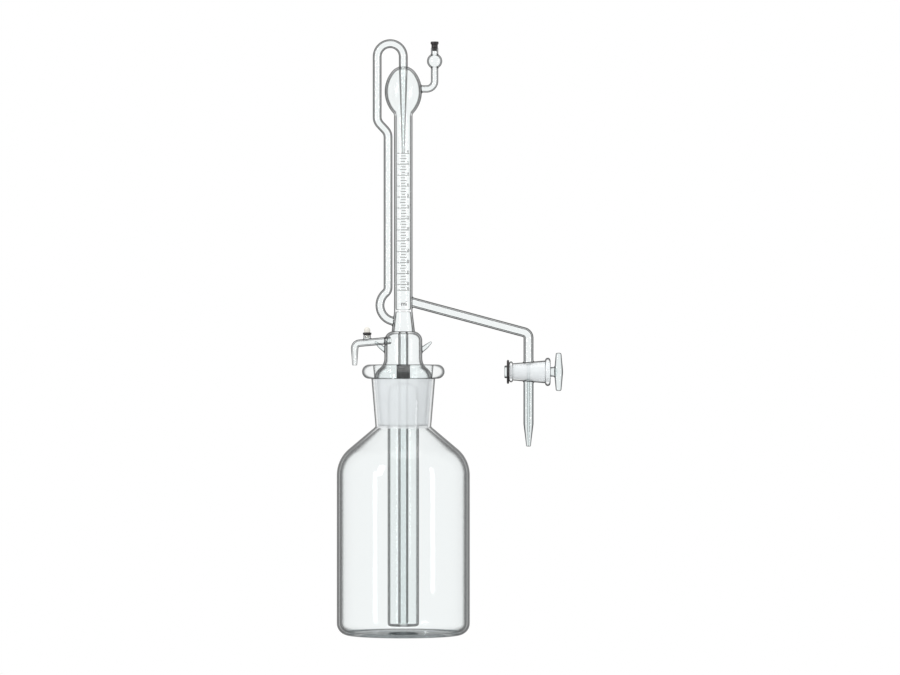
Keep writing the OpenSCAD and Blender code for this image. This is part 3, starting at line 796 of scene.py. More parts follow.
@dataclass(frozen=True)
class Bottle:
    """Reservoir bottle with its ground neck."""

    diameter: float = 133.0
    wall: float = 3.0
    side_height: float = 160.0
    heel: float = 12.0
    base_from: float = -60.0
    # Angle on the heel's arc below which the glass has the base's lighter painted edge shade.
    """Angle on the heel's arc below which the glass has the lighter finish of the base."""
    punt: float = 2.0
    rest_ring: float = 8.0
    shoulder: float = 34.3
    shoulder_turn: float = 50.0
    neck_diameter: float = 63.8
    neck_height: float = 48.0
    neck_wall: float = 2.9
    neck_round: float = 2.2
    taper: float = 6.0
    """Length over which the ground joint grows by one in diameter."""
    lip_diameter: float = 82.6
    lip_height: float = 14.2
    mouth_round: float = 2.0

    @property
    def centre(self) -> Point:
        """Centre of the shoulder's arc."""
        return self.diameter / 2 - self.shoulder, self.side_height

    @property
    def heel_centre(self) -> Point:
        """Centre of the heel's arc."""
        return self.diameter / 2 - self.heel, self.heel

    @property
    def neck_foot_r(self) -> float:
        """Outer half width at the foot of the neck."""
        return self.neck_diameter / 2 - self.neck_height / self.taper / 2

    @property
    def neck_foot(self) -> float:
        """Height of the foot of the neck."""
        return self.on_slope(self.shoulder, self.neck_foot_r)

    @property
    def lip(self) -> float:
        """Height of the underside of the lip."""
        return self.neck_foot + self.neck_height

    @property
    def rim(self) -> float:
        """Height of the bottle."""
        return self.lip + self.lip_height

    def on_slope(self, radius: float, r: float) -> float:
        """Height of the straight slope above the shoulder's arc.

        Args:
            radius: Radius of the arc, less on the inner wall.
            r: Half width at which the height is wanted.

        Returns:
            The height.
        """
        turn = math.radians(self.shoulder_turn)
        rise = radius * math.sin(turn)
        run = self.centre[0] + radius * math.cos(turn) - r
        return self.side_height + rise + run * math.tan(QUARTER_TURN - turn)

    def socket(self, z: float) -> float:
        """Half width of the ground socket at height z."""
        return self.neck_diameter / 2 - self.neck_wall + (z - self.lip) / self.taper / 2

    def _punt(self, z: float) -> Outline:
        """Push-up of the base, from its middle to the ring that the bottle stands on.

        Args:
            z: Height of the ring.

        Returns:
            The points outwards.
        """
        ring = self.diameter / 2 - self.heel - self.rest_ring
        radius = (ring**2 + self.punt**2) / self.punt / 2
        sweep = math.degrees(math.asin(ring / radius))
        return arc((0, z + self.punt - radius), radius, 90, 90 - sweep, step=0.4)

    def _wall(self, inset: float) -> Outline:
        """Side of the bottle from its heel to the end of its shoulder.

        Args:
            inset: Distance in from the outside.

        Returns:
            The points upwards.
        """
        heel = arc(self.heel_centre, self.heel - inset, self.base_from, 0)
        return heel + arc(self.centre, self.shoulder - inset, 0, self.shoulder_turn, step=2.5)

    def _base(self, inset: float) -> Outline:
        """Base of the bottle from its middle to its heel.

        Args:
            inset: Distance in from the outside.

        Returns:
            The points outwards.
        """
        heel = arc(self.heel_centre, self.heel - inset, -90, self.base_from)
        return self._punt(inset) + heel

    def build(self) -> None:
        """Makes the bottle."""
        # The base is the same glass, given a paler painted edge shade where its faces are seen edge
        # on.
        glass, base = Finish.BOTTLE, Finish.BASE
        outside, half_lip = self._wall(0), self.lip_height / 2
        lip = (self.lip_diameter / 2 - half_lip, self.lip + half_lip)
        corners = [
            outside[-1],
            (self.neck_foot_r, self.neck_foot),
            (self.neck_diameter / 2, self.lip),
            (lip[0], self.lip),
        ]
        mouth = (self.socket(self.rim) + self.mouth_round, self.rim - self.mouth_round)
        edge = arc(lip, half_lip, -90, 90, step=5) + arc(mouth, self.mouth_round, 90, 180, step=10)
        # Within the lip the socket isn't ground, so the rubber coupling shows through it.
        ground_top = (self.socket(self.lip), self.lip)
        foot_r = self.socket(self.neck_foot)
        foot = (foot_r, self.on_slope(self.shoulder - self.wall, foot_r))
        shape = Shape("reservoir_bottle_glass")
        for outline, finish in (
            (self._base(0), base),
            (outside, glass),
            (rounded(corners, self.neck_round), glass),
            (edge, Finish.LIP),
            ([edge[-1], ground_top], glass),
            ([ground_top, foot], Finish.GROUND),
            ([foot, *self._wall(self.wall)[::-1]], glass),
            (self._base(self.wall)[::-1], base),
        ):
            shape.turned(outline, finish, steps=Faces.BOTTLE)
        shape.piece(Body.BOTTLE, Slot.CLEAR, ["reservoir_bottle"])


@dataclass(frozen=True)
class Bell:
    """Ground cone, bell, stem and the tubes inside them."""

    bottle: Bottle
    cone_wall: float = 2.4
    clearance: float = 0.05
    foot_gap: float = 1.0
    diameter: float = 38.0
    wall: float = 1.8
    height: float = 47.3
    flare_height: float = 20.7
    shoulder: float = 9.6
    stem_foot: float = 23.4
    stem_height: float = 19.8
    stem_wall: float = 1.6
    stem_top: float = 18.5
    stem_round: float = 1.4
    lift_diameter: float = 9.9
    lift_wall: float = 1.4
    mouth: float = 2.0
    coupling_diameter: float = 13.5
    coupling_height: float = 14.2
    coupling_round: float = 0.8
    coupling_seen: float = 3.0
    """Depth to which the coupling's inside is modelled. Past it the tubes fill it."""
    tube_end_gap: float = 0.5
    jacket_diameter: float = 31.3
    jacket_end: float = 3.0
    jacket_gap: float = 4.0
    floor_gap: float = 4.0
    hook_length: float = 11.0
    hook_root: float = 6.0
    hook_tip: float = 2.4
    hook_rise: float = 40.0
    hook_height: float = 29.0
    hook_start_share: float = 3 / 8
    """Where the hook's own wall begins, past the fillet at its root."""
    hook_swell: float = 1.35
    """Power of the hook's taper. Over 1 it stays full near its root."""
    hook_stations: int = 8
    hook_turns: tuple[float, ...] = (0.3, 0.6, 0.9, 1.2, 1.45, 1.57)
    """Angles of the rings round the hook's tip."""
    weld: float = 1.2

    @property
    def base(self) -> float:
        """Height of the bell's lower edge."""
        return self.bottle.lip

    @property
    def top(self) -> float:
        """Height of the bell's ceiling."""
        return self.base + self.height

    @property
    def floor(self) -> float:
        """Height of the graduated tube's floor."""
        return self.top + self.stem_height

    @property
    def coupling_middle(self) -> float:
        """Height of the coupling's middle, where the two tube ends meet."""
        return self.base + self.coupling_height / 2

    @property
    def dip_end(self) -> float:
        """Height of the dip tube's lower end."""
        return self.bottle.punt + self.bottle.wall + self.floor_gap

    @property
    def lift_bore(self) -> float:
        """Radius of the bore of lift tube and dip tube."""
        return self.lift_diameter / 2 - self.lift_wall

    def cone(self, z: float) -> float:
        """Half width of the ground cone at height z."""
        return self.bottle.socket(z) - self.clearance

    def outline(self, inset: float, foot: float) -> Outline:
        """The bell's wall from its lower edge to its ceiling.

        Args:
            inset: Distance in from the outside.
            foot: Half width of the lower edge.

        Returns:
            The points upwards.
        """
        corner_r = self.diameter / 2 - self.shoulder
        rise = math.sqrt(self.shoulder**2 - (self.stem_foot / 2 - corner_r) ** 2)
        corner_z = self.top - rise
        sweep = math.degrees(math.asin((self.top - inset - corner_z) / (self.shoulder - inset)))
        side = flare(foot, self.diameter / 2 - inset, self.base, self.flare_height)
        return side + arc((corner_r, corner_z), self.shoulder - inset, 0, sweep)

    def build(self) -> tuple[BVHTree, BVHTree]:
        """Makes the bell and what belongs to it.

        Returns:
            The outer surfaces of the bell and of the stem, for tubes to be fused to.
        """
        outer = self._bell()
        stem = self._stem()
        self._cone()
        self._lift()
        self._coupling()
        self._dip()
        self._jacket()
        for side, name in ((-1, "left_hook"), (1, "right_hook")):
            self._hook(outer, side, name)
        return outer, stem

    def _bell(self) -> BVHTree:
        """Makes the bell.

        Returns:
            Its outer surface.
        """
        glass = Finish.BELL
        lift = self.lift_diameter / 2 + self.mouth
        foot = self.cone(self.base)
        shape = Shape("head_bell_glass").turned([*self.outline(0, foot), (lift, self.top)], glass)
        surface = shape.surface()
        inner = self.outline(self.wall, foot - self.cone_wall)
        shape.turned([(lift, self.top - self.wall), *inner[::-1]], glass)
        shape.piece(Body.HEAD, Slot.CLEAR, ["head_bell"])
        return surface

    def _stem(self) -> BVHTree:
        """Makes the stem with its rounded ceiling under the graduated tube.

        Returns:
            Its outer surface.
        """
        glass = Finish.TUBE
        foot, end = self.stem_foot / 2, self.stem_top / 2
        shape = Shape("head_stem_glass").turned([(foot, self.top), (end, self.floor)], glass)
        surface = shape.surface()
        high, low = end - self.stem_wall, foot - self.stem_wall
        ceiling = [(0, self.floor), (high, self.floor), (low, self.top)]
        shape.turned(rounded(ceiling, self.stem_round), glass)
        shape.piece(Body.HEAD, Slot.CLEAR, ["head_stem"])
        return surface

    def _cone(self) -> None:
        """Makes the ground cone, frosted outside, with a fire-polished lower rim."""
        half = self.cone_wall / 2
        low = self.bottle.neck_foot + self.foot_gap + half
        high = (self.cone(self.base), self.base)
        rim = arc((self.cone(low) - half, low), half, 180, 360, step=15)
        inside = [(high[0] - self.cone_wall, self.base), rim[0]]
        shape = Shape("ground_cone_frosted")
        shape.turned([rim[-1], high], Finish.GROUND, steps=Faces.CONE)
        shape.turned(rim, Finish.SOLID, steps=Faces.CONE)
        shape.turned(inside, Finish.BELL, steps=Faces.CONE)
        shape.piece(Body.HEAD, Slot.GROUND, ["ground_cone"])

    def _lift(self) -> None:
        """Makes the lift tube with its rounded mouth in the bell's ceiling."""
        glass, r = Finish.CAPILLARY, self.lift_diameter / 2
        end = self.coupling_middle + self.tube_end_gap / 2
        wide, funnel = r + self.mouth, self.mouth + self.lift_wall
        under = arc((wide, self.top - self.wall - self.mouth), self.mouth, 180, 90, step=9)
        over = arc((wide, self.top - funnel), funnel, 90, 180, step=9)
        shape = Shape("lift_tube_glass").turned([(r, end), *under], glass, steps=Faces.TUBE)
        shape.turned([*over, (self.lift_bore, end), (r, end)], glass, steps=Faces.TUBE)
        shape.piece(Body.HEAD, Slot.CLEAR, ["lift_tube"])

    def _coupling(self) -> None:
        """Makes the rubber coupling between lift tube and dip tube."""
        r, half = self.lift_diameter / 2, self.coupling_diameter / 2
        end = self.base + self.coupling_height
        corners = [
            (r, self.base + self.coupling_seen),
            (r, self.base),
            (half, self.base),
            (half, end),
            (r, end),
            (r, end - self.coupling_seen),
        ]
        sleeve = rounded(corners, self.coupling_round)
        shape = Shape("coupling_sleeve_rubber")
        shape.turned(sleeve, Finish.RUBBER, steps=Faces.TUBE)
        shape.piece(Body.HEAD, Slot.BLACK, ["coupling_sleeve"])

    def _dip(self) -> None:
        """Makes the dip tube. Its lower end belongs to the jacket."""
        r, bore = self.lift_diameter / 2, self.lift_bore
        foot = self.dip_end + self.jacket_end
        end = self.coupling_middle - self.tube_end_gap / 2
        shape = Shape("dip_tube_glass")
        outline = [(r, foot), (r, end), (bore, end), (bore, foot)]
        shape.turned(outline, Finish.CAPILLARY, steps=Faces.TUBE)
        shape.piece(Body.HEAD, Slot.CLEAR, ["dip_tube"])

    def _jacket(self) -> None:
        """Makes the jacket, sealed to the dip tube by a dome above and a round end below."""
        glass, r = Finish.JACKET, self.lift_diameter / 2
        half, wall, bend = self.jacket_diameter / 2, self.lift_wall, self.jacket_end
        z = self.dip_end + bend
        dome = (r, self.base - self.jacket_gap - (half - r))
        inner, outer = (self.lift_bore + bend, z), (half - bend, z)
        outside = arc(inner, bend, 180, 270, step=9) + arc(outer, bend, 270, 360, step=9)
        outside += arc(dome, half - r, 0, 90)
        inside = arc(dome, half - r - wall, 90, 0) + arc(outer, bend - wall, 360, 270, step=9)
        inside += arc(inner, bend - wall, 270, 180, step=9)
        shape = Shape("dip_jacket_glass").turned(outside, glass, steps=Faces.BARREL)
        shape.turned(inside, glass, steps=Faces.BARREL)
        shape.piece(Body.HEAD, Slot.CLEAR, ["dip_jacket"])

    def _hook(self, bell: BVHTree, side: int, name: str) -> None:
        """Makes a glass horn for a spring.

        Args:
            bell: Outer surface of the bell.
            side: -1 on the left and 1 on the right.
            name: Its node in the frame.
        """
        rise = math.radians(self.hook_rise)
        low, tip_r, length = self.hook_root / 2, self.hook_tip / 2, self.hook_length
        begin = length * self.hook_start_share
        begin_r = low + (tip_r - low) * self.hook_start_share
        reaches = []
        for k in range(self.hook_stations + 1):
            t = k / self.hook_stations
            radius = begin_r + (tip_r - begin_r) * t**self.hook_swell
            reaches.append((begin + (length - begin) * t, radius))
        for a in self.hook_turns:
            reaches.append((length + tip_r * math.sin(a), tip_r * math.cos(a)))
        stations = []
        for reach, radius in reversed(reaches):
            out = side * (self.diameter / 2 + reach * math.cos(rise))
            stations.append((out, self.base + self.hook_height + reach * math.sin(rise), radius))
        glass, seat = Finish.SOLID, Seat(bell, self.weld)
        shape = Shape(name + "_glass").swept(stations, glass, end=seat, sides=Faces.THIN)
        shape.piece(Body.HEAD, Slot.CLEAR, [name])


@dataclass(frozen=True)
class Measure:
    """Graduated tube with its printed scale, overflow bulb and filling jet."""

    floor: float
    """Height of the tube's floor."""
    diameter: float = 18.5
    wall: float = 1.6
    floor_round: float = 1.5
    scale_length: float = 136.7
    below: float = 21.4
    above: float = 38.0
    capacity: int = 25
    per_number: int = 2
    parts: int = 4
    """Parts that the marks divide a numbered step into."""
    ink_height: float = 0.03
    letter_weight: float = 0.06
    """Distance by which the letters are made bolder."""
    number_size: float = 3.1
    number_at: Point = (5.0, 0.75)
    """Middle of a number, from the middle of its mark."""
    unit_size: float = 6.2
    unit_at: Point = (0.7, 5.9)
    """Middle of the unit, from the middle of the tube's floor."""
    bulb_diameter: float = 37.3
    bulb_height: float = 50.8
    end_share: float = 0.8
    """Radius of the bulb's two ends as a share of its half width."""
    blend: float = 4.0
    leg_height: float = 9.4
    riser_diameter: float = 8.8
    riser_wall: float = 1.2
    jet_tip: float = 2.4
    jet_bore: float = 1.2

    @property
    def zero(self) -> float:
        """Height of the zero mark."""
        return self.floor + self.below + self.scale_length

    @property
    def top(self) -> float:
        """Height at which the tube ends and the bulb begins."""
        return self.zero + self.above

    @property
    def end_r(self) -> float:
        """Radius of the bulb's two ends."""
        return self.bulb_diameter / 2 * self.end_share

    @property
    def end_z(self) -> float:
        """Distance of the ends' centres from the bulb's middle."""
        return self.bulb_height / 2 - self.end_r

    @property
    def blend_centre(self) -> Point:
        """Centre of the hollow curve, from the lower end's centre."""
        r = self.diameter / 2 + self.blend
        return r, math.sqrt((self.end_r + self.blend) ** 2 - r * r)

    @property
    def middle(self) -> float:
        """Height of the bulb's middle."""
        return self.top + self.end_z + self.blend_centre[1]

    @property
    def leg_top(self) -> float:
        """Height at which the siphon bend begins."""
        return self.middle + self.bulb_height / 2 + self.leg_height

    def bulb(self, inset: float) -> Outline:
        """The bulb's wall from the tube to the filling leg.

        Args:
            inset: Distance in from the outside.

        Returns:
            The points upwards.
        """
        half = self.bulb_diameter / 2
        side_r = (half**2 - self.end_r**2 + self.end_z**2) / (half - self.end_r) / 2
        turn = math.degrees(math.atan2(self.end_z, side_r - half))
        hollow = math.degrees(math.atan2(self.blend_centre[1], self.blend_centre[0]))
        end = self.end_r - inset
        last = math.degrees(math.acos(self.riser_diameter / 2 / end))
        blend = (self.blend_centre[0], self.top)
        return (
            arc(blend, self.blend + inset, 180, 180 - hollow, step=6)
            + arc((0, self.middle - self.end_z), end, -hollow, -turn)
            + arc((half - side_r, self.middle), side_r - inset, -turn, turn, step=2.5)
            + arc((0, self.middle + self.end_z), end, turn, last)
        )

    def build(self) -> tuple[BVHTree, BVHTree]:
        """Makes the tube, its scale, the bulb and the jet.

        Returns:
            The outer surfaces of the tube and of the bulb.
        """
        tube = self._tube()
        blown = Finish.BULB
        oval = Shape("overflow_bulb_glass").turned(self.bulb(0), blown)
        bulb = oval.surface()
        oval.turned(self.bulb(self.wall)[::-1], blown)
        oval.piece(Body.HEAD, Slot.CLEAR, ["overflow_bulb"])
        self._jet()
        self._scale()
        return tube, bulb

    def _tube(self) -> BVHTree:
        """Makes the graduated tube with its sealed floor.

        Returns:
            Its outer surface.
        """
        glass, r = Finish.TUBE, self.diameter / 2
        shape = Shape("graduated_tube_glass").turned([(r, self.floor), (r, self.top)], glass)
        surface = shape.surface()
        inner, base = r - self.wall, self.floor + self.wall
        corner = (inner - self.floor_round, base + self.floor_round)
        curve = arc(corner, self.floor_round, 0, -90, step=15)
        inside = [(inner, self.top), (inner, corner[1]), *curve, (0, base)]
        shape.turned(inside, glass)
        shape.piece(Body.HEAD, Slot.CLEAR, ["graduated_tube"])
        return surface

    def _jet(self) -> None:
        """Makes the filling leg, drawn out to a point at the zero mark."""
        glass, r = Finish.CAPILLARY, self.riser_diameter / 2
        bore, tip_bore = r - self.riser_wall, self.jet_bore / 2
        seal = self.middle + self.end_z + math.sqrt(self.end_r**2 - r * r)
        lip = (self.jet_tip / 2 - tip_bore) / 2
        end = arc((tip_bore + lip, self.zero + lip), lip, 180, 360, step=20)
        shape = Shape("filling_jet_glass")
        shape.turned([*end, (r, seal), (r, self.leg_top)], glass, steps=Faces.TUBE)
        shape.turned([(bore, self.leg_top), (bore, seal), end[0]], glass, steps=Faces.TUBE)
        shape.piece(Body.HEAD, Slot.CLEAR, ["filling_jet"])

    def _scale(self) -> None:
        """Prints the marks and numbers on the front of the tube."""
        ink = Finish.INK
        shape = Shape("scale_print")
        total = self.capacity * self.parts // self.per_number
        across, above = self.number_at
        for i in range(total + 1):
            z = self.zero - self.scale_length * i / total
            numbered = i % self.parts == 0 or i == total
            mark = Mark.NUMBERED if numbered else Mark.MIDDLE if i % 2 == 0 else Mark.SHORT
            self._mark(shape, ink, z, mark)
            if numbered:
                number = str(round(self.capacity * i / total))
                self._print(shape, ink, (across, z + above), self.number_size, number)
        across, above = self.unit_at
        self._print(shape, ink, (across, self.floor + above), self.unit_size, "ml")
        shape.piece(Body.HEAD, Slot.BLACK, sharp=80)

    def _mark(self, shape: Shape, ink: Finish, z: float, mark: Mark) -> None:
        """Prints one mark on the front of the tube.

        Args:
            shape: Shape that gets the mark.
            ink: Its finish.
            z: Its height.
            mark: Its length and thickness.
        """
        half, thick = mark.value
        r = self.diameter / 2 + self.ink_height
        reach = math.asin(half / r)
        line = [(r, z - thick / 2), (r, z + thick / 2)]
        start = Matrix.Rotation(-QUARTER_TURN - reach, 4, "Z")
        steps = max(4, round(half * 2))
        shape.turned(line, ink, steps=steps, sweep=2 * reach, place=start)

    def _print(self, shape: Shape, ink: Finish, at: Point, size: float, text: str) -> None:
        """Prints plain letters on the front of the tube.

        Args:
            shape: Shape that gets the letters.
            ink: Its finish.
            at: Middle of the line of letters, as (distance round the tube, height).
            size: Size of the letters.
            text: The letters.
        """
        curve = bpy.data.curves.new("letters", "FONT")
        curve.body, curve.size, curve.align_x = text, size, "CENTER"
        curve.resolution_u, curve.offset = 3, self.letter_weight
        holder = bpy.data.objects.new("letters", curve)
        mesh = bpy.data.meshes.new_from_object(holder)
        first_vert, first_face = len(shape.bm.verts), len(shape.bm.faces)
        shape.bm.from_mesh(mesh)
        shape.bm.verts.ensure_lookup_table()
        shape.bm.faces.ensure_lookup_table()
        r = self.diameter / 2 + self.ink_height
        for vert in shape.bm.verts[first_vert:]:
            a = (vert.co.x + at[0]) / r - QUARTER_TURN
            vert.co = Vector((r * math.cos(a), r * math.sin(a), at[1] + vert.co.y))
        shape.dress(shape.bm.faces[first_face:], ink)
        bpy.data.objects.remove(holder)
        bpy.data.meshes.remove(mesh)
        bpy.data.curves.remove(curve)


@dataclass(frozen=True)
class Riser:
    """Riser with its lower loop, its jog past the bulb and the siphon bend."""

    measure: Measure
    stem_height: float
    gap: float = 1.6
    bulb_gap: float = 3.1
    jog_turn: float = 43.0
    jog_radius: float = 10.6
    jog_drop: float = 1.6
    loop_radius: float = 16.2
    loop_out: float = 8.1
    loop_end: float = 252.0
    """Angle on the loop's arc at which it runs into the stem."""
    ease_radius: float = 7.7
    weld: float = 1.2

    @property
    def r(self) -> float:
        """Outer radius of the riser."""
        return self.measure.riser_diameter / 2

    @property
    def x(self) -> float:
        """Distance of the straight riser's axis from the burette's axis."""
        return -(self.measure.diameter / 2 + self.gap + self.r)

    @property
    def leg(self) -> float:
        """Distance of the riser's axis beside the bulb."""
        return -(self.measure.bulb_diameter / 2 + self.bulb_gap + self.r)

    def build(self, stem: BVHTree) -> None:
        """Makes the riser, from the stem to the filling leg.

        Args:
            stem: Outer surface of the stem.
        """
        m = self.measure
        middle = m.floor - self.stem_height / 2
        loop = (self.x - self.loop_out + self.loop_radius, middle + self.loop_radius)
        ease_x = self.x - self.ease_radius
        reach = self.ease_radius + self.loop_radius
        ease = (ease_x, loop[1] + math.sqrt(reach**2 - (loop[0] - ease_x) ** 2))
        turn = math.degrees(math.atan2(ease[1] - loop[1], loop[0] - ease[0]))
        lower = bent(loop, self.loop_radius, 180 - turn, self.loop_end)
        self._tube("riser_loop", lower, stem)
        upper = bent(ease, self.ease_radius, -turn, 0) + self._jog() + [(self.leg, m.leg_top)]
        self._tube("riser_tube", upper)
        bend = bent((self.leg / 2, m.leg_top), -self.leg / 2, 180, 0)
        self._tube("siphon_bend", bend)

    def _jog(self) -> Outline:
        """Works out the jog that takes the riser out past the bulb.

        Returns:
            Points of its axis upwards.
        """
        t = math.radians(self.jog_turn)
        step_x, step_z = self.jog_radius * (1 - math.cos(t)), self.jog_radius * math.sin(t)
        slant = (self.x - self.leg - 2 * step_x) / math.sin(t)
        high = self.measure.top - self.jog_drop
        low = high - 2 * step_z - slant * math.cos(t)
        first = bent((self.x - self.jog_radius, low), self.jog_radius, 0, self.jog_turn)
        centre = (self.leg + self.jog_radius, high)
        return first + bent(centre, self.jog_radius, 180 + self.jog_turn, 180)

    def _tube(self, node: str, axis: Outline, stem: BVHTree | None = None) -> None:
        """Makes one length of the riser.

        Args:
            node: Its node in the frame.
            axis: Points of its axis.
            stem: Surface that its end is fused to.
        """
        glass, bore = Finish.CAPILLARY, self.r - self.measure.riser_wall
        outer, inner = (Seat(stem, self.weld), Seat(stem)) if stem else (None, None)
        shape = Shape(node + "_glass").swept(even(axis, self.r), glass, end=outer)
        shape.swept(even(axis, bore), glass, inside=True, end=inner)
        shape.piece(Body.HEAD, Slot.CLEAR, [node])


@dataclass(frozen=True)
class Guard:
    """Guard tube on the overflow bulb, with its pierced stopper."""

    measure: Measure
    diameter: float = 7.3
    wall: float = 1.1
    up: float = 2.6
    root: float = 1.6
    """Distance off the bulb's widest ring at which the tube is clear of its fillet."""
    weld: float = 1.2
    bend: float = 7.9
    gap: float = 5.0
    rise: float = 19.9
    ball: float = 15.3
    blend: float = 2.0
    neck: float = 13.2
    collar_diameter: float = 6.4
    collar_height: float = 3.3
    head_diameter: float = 8.0
    head_height: float = 3.0
    head_cone: float = 0.7
    depth: float = 3.0
    bore: float = 1.2
    bore_end: float = 1.0
    """Depth in the vent hole at which the outline ends, so that its mouth can be rounded."""
    edge_round: float = 0.5
    clearance: float = 0.1

    @property
    def r(self) -> float:
        """Outer radius of the guard tube."""
        return self.diameter / 2

    @property
    def x(self) -> float:
        """Distance of the upright tube's axis from the burette's axis."""
        return self.measure.bulb_diameter / 2 + self.gap + self.ball / 2

    @property
    def low(self) -> float:
        """Height of the level run's axis."""
        return self.measure.middle + self.up

    @property
    def ball_z(self) -> float:
        """Height of the small bulb's middle."""
        return self.low + self.bend + self.rise

    @property
    def hollow(self) -> Point:
        """Centre of the curve between the small bulb and the tube, from the bulb's middle."""
        out = self.r + self.blend
        return out, math.sqrt((self.ball / 2 + self.blend) ** 2 - out**2)

    def build(self, bulb: BVHTree) -> None:
        """Makes the guard tube and its stopper.

        Args:
            bulb: Outer surface of the overflow bulb.
        """
        self._arm(bulb)
        self._ball()
        self._stopper()

    def _arm(self, bulb: BVHTree) -> None:
        """Makes the tube from the overflow bulb to the small bulb.

        Args:
            bulb: Outer surface of the overflow bulb.
        """
        glass, corner = Finish.CAPILLARY, self.x - self.bend
        axis = [(self.measure.bulb_diameter / 2 + self.root, self.low), (corner, self.low)]
        axis += bent((corner, self.low + self.bend), self.bend, 270, 360)[1:]
        axis.append((self.x, self.ball_z - self.hollow[1]))
        shape = Shape("guard_arm_glass")
        shape.swept(even(axis, self.r), glass, start=Seat(bulb, self.weld))
        shape.swept(even(axis, self.r - self.wall), glass, inside=True, start=Seat(bulb))
        shape.piece(Body.HEAD, Slot.CLEAR, ["guard_arm"])

    def _ball(self) -> None:
        """Makes the small bulb and the mouth above it."""
        glass, blown = Finish.CAPILLARY, Finish.BALL
        place = Matrix.Translation((self.x, 0, self.ball_z))
        (out, up), half_wall = self.hollow, self.wall / 2
        turn, mouth = math.degrees(math.atan2(up, out)), self.neck - half_wall
        shape = Shape("guard_bulb_glass")
        for inset in (0.0, self.wall):
            low = arc((out, -up), self.blend + inset, 180, 180 - turn, step=10)
            middle = arc((0, 0), self.ball / 2 - inset, -turn, turn, step=5)
            high = arc((out, up), self.blend + inset, 180 + turn, 180, step=10)
            high.append((self.r - inset, mouth))
            for part, finish in ((low, glass), (middle, blown), (high, glass)):
                outline = part[::-1] if inset else part
                shape.turned(outline, finish, steps=Faces.TUBE, place=place)
        rim = arc((self.r - half_wall, mouth), half_wall, 0, 180, step=20)
        shape.turned(rim, glass, steps=Faces.TUBE, place=place)
        shape.piece(Body.HEAD, Slot.CLEAR, ["guard_bulb"])

    def _stopper(self) -> None:
        """Makes the pierced stopper: shank, collar and a wider head."""
        shank, hole = self.r - self.wall - self.clearance, self.bore / 2
        collar, head = self.collar_diameter / 2, self.head_diameter / 2
        top = self.collar_height + self.head_height
        corners = [
            (hole, 0),
            (hole, -self.depth),
            (shank, -self.depth),
            (shank, 0),
            (collar, 0),
            (collar, self.collar_height),
            (head, self.collar_height + self.head_cone),
            (head, top),
            (hole, top),
            (hole, top - self.bore_end),
        ]
        outline = rounded(corners, self.edge_round)
        place = Matrix.Translation((self.x, 0, self.ball_z + self.neck))
        shape = Shape("vent_stopper_rubber")
        rubber = Finish.RUBBER
        shape.turned(outline, rubber, closed=True, steps=Faces.SMALL, place=place)
        shape.piece(Body.STOPPER, Slot.BLACK, ["vent_stopper"])


